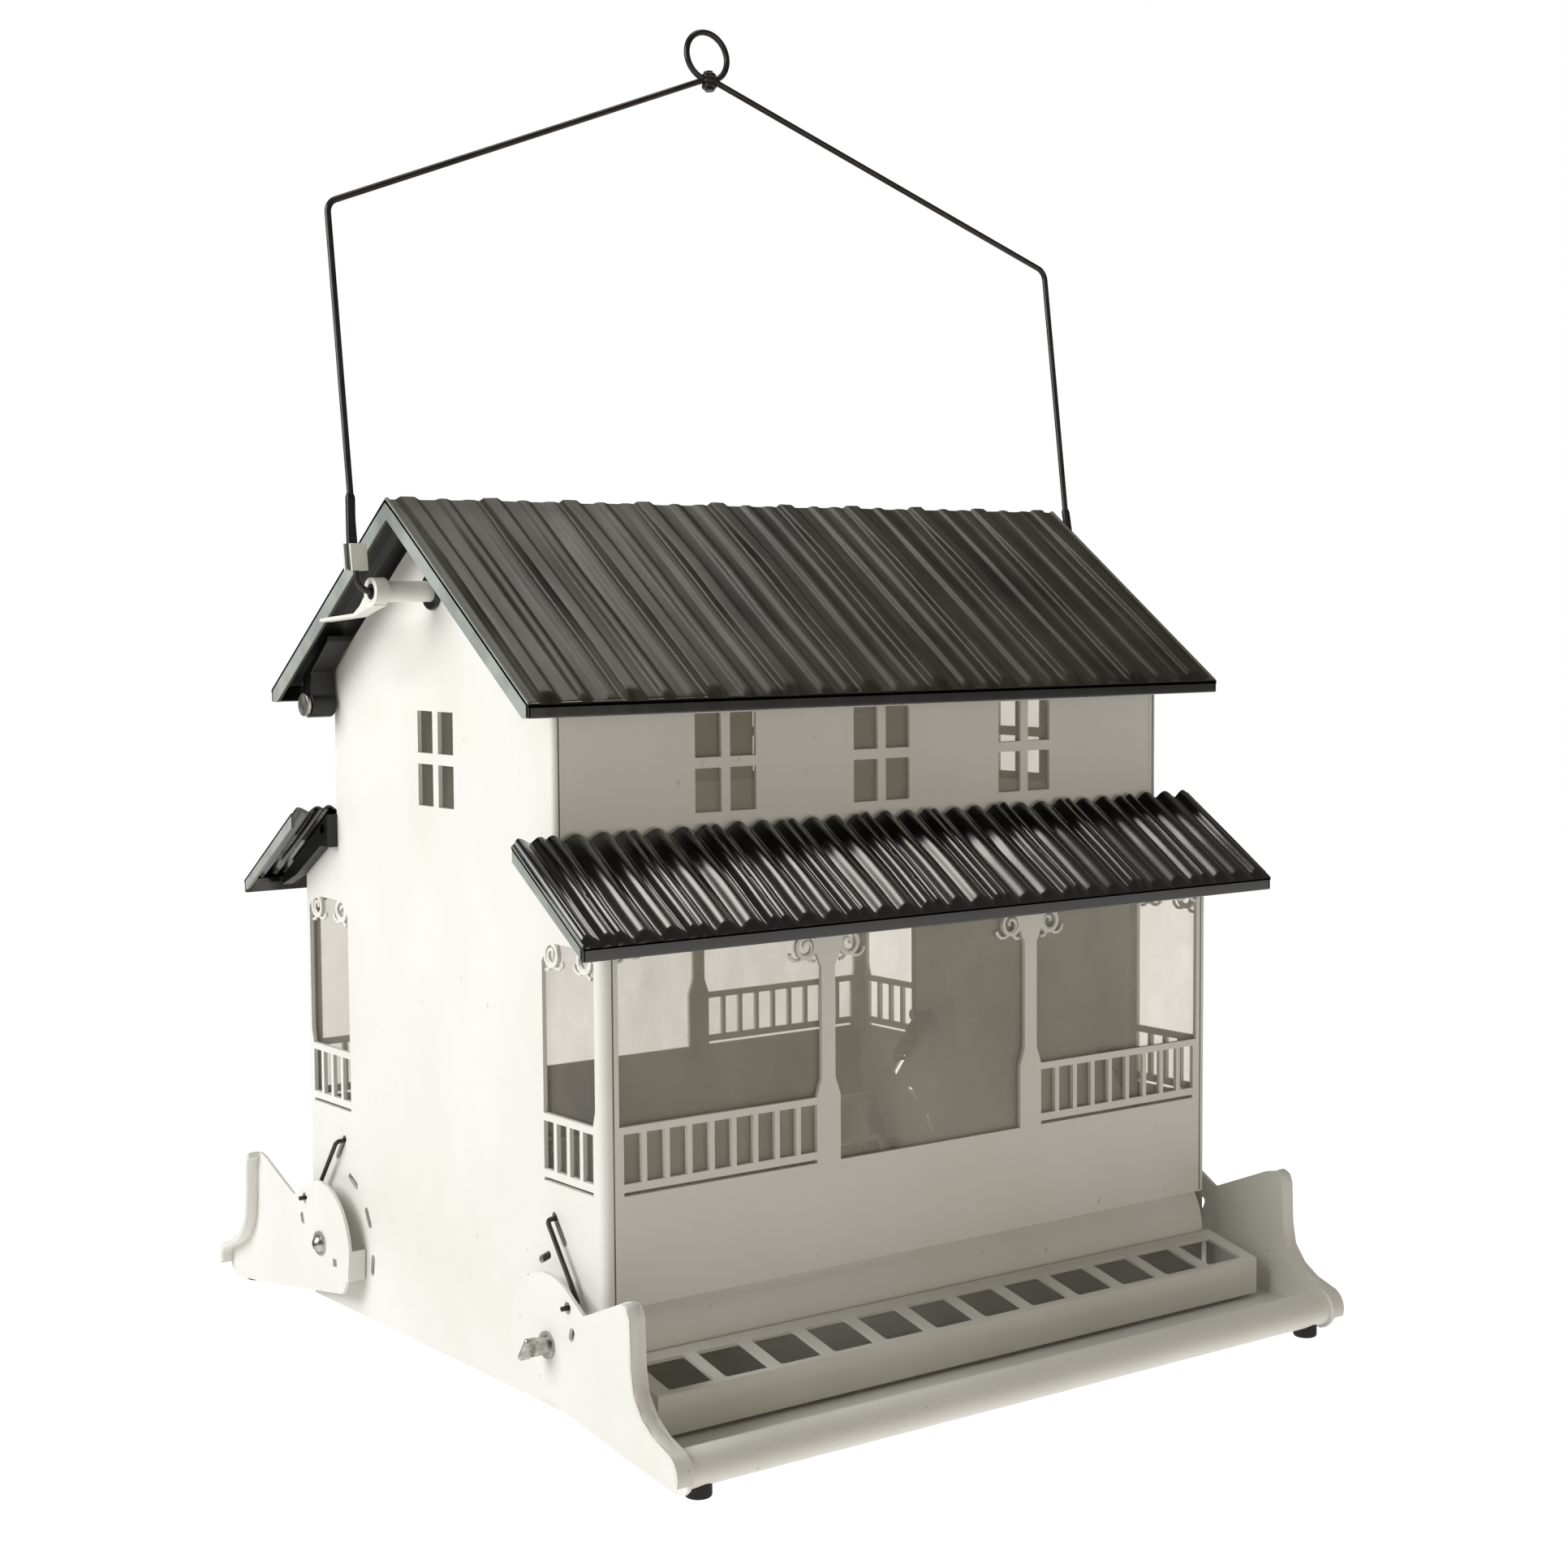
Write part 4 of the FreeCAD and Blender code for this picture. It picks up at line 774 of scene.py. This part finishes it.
def hanger_sleeves():
    """White channel on each bail leg, open to the outside, with the black boot lying in it."""
    wall = 1.0 * MM
    boot_half_width, boot_half_depth = 1.25 * MM, 1.55 * MM
    for name, sign in (("left", -1), ("right", 1)):
        foot, top = level_ring("bail_sleeves", sign, min), level_ring("bail_sleeves", sign, max)
        low, high = ring_middle(foot), ring_middle(top)
        half_x = (max(v.x for v in foot) - min(v.x for v in foot)) / 2
        half_y = (max(v.y for v in foot) - min(v.y for v in foot)) / 2
        open_x, back_x = low.x + sign * half_x, low.x - sign * half_x
        web = back_x + sign * wall
        outline = [(open_x, -half_y), (back_x, -half_y), (back_x, half_y), (open_x, half_y),
                   (open_x, half_y - wall), (web, half_y - wall), (web, wall - half_y),
                   (open_x, wall - half_y)]
        points = [Vector((x, low.y + y, low.z)) for x, y in outline]
        sleeve = profile_bar("bail_sleeve_" + name, points, low, high, 0.2 * MM, "bail",
                             "white_plastic")
        start, neck = [ring_middle(level_ring("bail_boots", sign, pick)) for pick in (max, min)]
        # the boot lies just inside the channel's open face
        aside = Vector((open_x - sign * (boot_half_depth + 0.07 * MM) - low.x, 0, 0))
        # it starts to bend outward just above the sleeve
        path = rounded_line([start, neck + aside * 0.8, low + aside])
        boot = rolled_bead("bail_boot_" + name, path, Vector((0, 1, 0)), boot_half_width,
                           boot_half_depth, "bail", "black_plastic")
        if sign < 0:
            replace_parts(boot, "bail_boots")
            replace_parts(sleeve, "bail_sleeves")


PLATE_FACE = 142.1     # middle of an end plate's bead


def end_plate_beads():
    """Fat rolled edge up the tall front corner of each end plate and down to the rail."""
    # depth and height: the corner, the front edge and the sweep down to the rail
    outline = [(130.4, 48.2), (132.4, 47.6), (133.4, 44.5), (133.9, 30.0), (135.4, 22.2),
               (140.1, 15.7), (146.2, 11.8)]
    # round the lobe that holds the rail's end
    rail_depth, rail_height, lobe = 152, 3.2, 6.1
    for turn in (62, 42, 22, 2, -16):
        angle = math.radians(turn)
        outline.append((rail_depth + lobe * math.cos(angle), rail_height + lobe * math.sin(angle)))
    for side, way in (("front", -1), ("rear", 1)):
        for end, sign in (("left", -1), ("right", 1)):
            path = rounded_line([place(sign * PLATE_FACE, way * u, z) for u, z in outline])
            rolled_bead("end_plate_bead_%s_%s" % (side, end), path, Vector((1, 0, 0)),
                        2.7 * MM, 1.25 * MM, "perch_" + side, "wall_paint")


# storey, distance of the seam from the middle, the wall's depth, lower and upper end
SEAMS = (("lower", 128.9, 102.8, 38.6, 164.0), ("upper", 130.6, 75.8, 183.0, 232.0))
SEAM_HALF = 0.27       # half its width
SEAM_PROUD = 0.04      # how far it stands out of the wall
SEAM_DEEP = 0.5        # and how deep it goes


def wall_seams():
    """Grey strip painted as the shadow in the gap where each wall meets the gables' folded
    corners.
    """
    for side, way in (("front", -1), ("rear", 1)):
        for end, sign in (("left", -1), ("right", 1)):
            for storey, x, y, low, high in SEAMS:
                outline = [place(sign * x + half, way * depth, low) for half, depth in
                           ((-SEAM_HALF, y + SEAM_PROUD), (SEAM_HALF, y + SEAM_PROUD),
                            (SEAM_HALF, y - SEAM_DEEP), (-SEAM_HALF, y - SEAM_DEEP))]
                profile_bar("seam_%s_%s_%s" % (storey, side, end), outline,
                            (0, 0, low * MM), (0, 0, high * MM), 0, "house", "seam_painted_shadow")


# ------------------------------------------------------------------ build
scrollwork()
hanger_sleeves()
end_plate_beads()
wall_seams()
main_roof()
porch_roof("front", -1)
porch_roof("rear", 1)
for side in ("front", "rear"):
    for end in ("left", "right"):
        spring("spring_%s_%s" % (side, end), side)

# every CAD piece that isn't redrawn above stays as it is, with softened edges
redrawn = set()
for item in bpy.data.objects:
    redrawn.update(item.get("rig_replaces", []))
for node in sorted(frame["nodes"]):
    if node not in redrawn:
        item = softened(node)
        # no seed lies against the small panes in the gables, so they are cleaner
        if slot_of[node] == "clear_pane" and node.startswith("gable"):
            item.data.materials[0] = finishes["clean_pane"]


# ------------------------------------------------------------------ studio
FLOOR_HALF = 6
FLOOR_LEVEL = -0.95
HOUSE = (0, -0.026, -0.33)
# name, colour, place, aim, width, height, watts
LAMPS = (("left_softbox", "#ffffff", (-1.3, 0.25, 0.4), HOUSE, 1.0, 1.0, 20.5),
         ("overhead_softbox", "#fffdf4", (0.30, 0.1, 1.0), (0.05, -0.05, -0.2), 0.24, 0.9, 3.6),
         ("front_fill", "#fff0d8", (0.35, -2.2, -0.3), HOUSE, 1.1, 1.2, 5.0))


def floor():
    """Pale painted floor, far under the hanging feeder."""
    mesh = bpy.data.meshes.new("floor")
    corners = [(x * FLOOR_HALF, y * FLOOR_HALF, FLOOR_LEVEL)
               for x, y in ((-1, -1), (1, -1), (1, 1), (-1, 1))]
    mesh.from_pydata(corners, [], [(0, 1, 2, 3)])
    sweep = bpy.data.objects.new("floor", mesh)
    bpy.context.scene.collection.objects.link(sweep)
    material, tree, shader, where = finish_material(
        "pale_floor_paint", **{"Roughness": 0.7, "Emission Color": linear("#ffffff")})
    tone = add(tree, "TexNoise", {"Vector": where, "Scale": 0.6})
    ramp = add(tree, "ValToRGB", {"Fac": tone.outputs["Fac"]},
               stops=((0.3, linear("#f1f0ee")), (0.7, linear("#f6f6f4"))))
    tree.links.new(ramp.outputs[0], shader.inputs["Base Color"])
    # the floor is lit from below: it shows white and gives a softer light back
    ray = add(tree, "LightPath")
    glow = add(tree, "MapRange", {"Value": ray.outputs["Is Camera Ray"], "To Min": 0.5,
                                  "To Max": 1.0})
    tree.links.new(glow.outputs[0], shader.inputs["Emission Strength"])
    mesh.materials.append(material)


def surroundings():
    """White all round the feeder, which lights it only faintly."""
    world = bpy.data.worlds.new("white_studio")
    bpy.context.scene.world = world
    world.use_nodes = True
    tree = world.node_tree
    tree.nodes.clear()
    path = add(tree, "LightPath")
    seen = add(tree, "Background", {"Color": linear("#ffffff"), "Strength": 1.0})
    lit = add(tree, "Background", {"Color": linear("#fff9ec"), "Strength": 0.14})
    mix = add(tree, "MixShader", {0: path.outputs["Is Camera Ray"], 1: lit.outputs[0],
                                  2: seen.outputs[0]})
    add(tree, "OutputWorld", {"Surface": mix.outputs[0]})


def lamps():
    """Soft lamps: the key at the left, one overhead for the roofs' gloss, a faint front fill."""
    for name, colour, spot, aim, width, height, power in LAMPS:
        lamp = bpy.data.lights.new(name, "AREA")
        lamp.color = linear(colour)[:3]
        lamp.shape = "RECTANGLE"
        lamp.size, lamp.size_y, lamp.energy = width, height, power
        holder = bpy.data.objects.new(name, lamp)
        bpy.context.scene.collection.objects.link(holder)
        holder.location = spot
        holder.rotation_euler = (Vector(aim) - Vector(spot)).to_track_quat("-Z", "Y").to_euler()


# where the camera stands, in millimetres from under the ridge, and its turns in radians
EYE = (-543.515, -750.165, 258.543)
YAW, PITCH, ROLL = 0.639201, -0.073425, -0.0066297


def camera():
    """Camera at the front left, a little above the trays and below the eaves."""
    lens = bpy.data.cameras.new("camera")
    lens.sensor_width = 36
    lens.lens = 57.63
    lens.clip_start = 0.01
    eye = bpy.data.objects.new("camera", lens)
    bpy.context.scene.collection.objects.link(eye)
    turn = (Matrix.Rotation(-YAW, 4, "Z") @ Matrix.Rotation(math.pi / 2 + PITCH, 4, "X")
            @ Matrix.Rotation(ROLL, 4, "Z"))
    eye.matrix_world = Matrix.Translation(place(*EYE)) @ turn
    bpy.context.scene.camera = eye


floor()
surroundings()
lamps()
camera()
bpy.context.scene.view_settings.view_transform = "Standard"
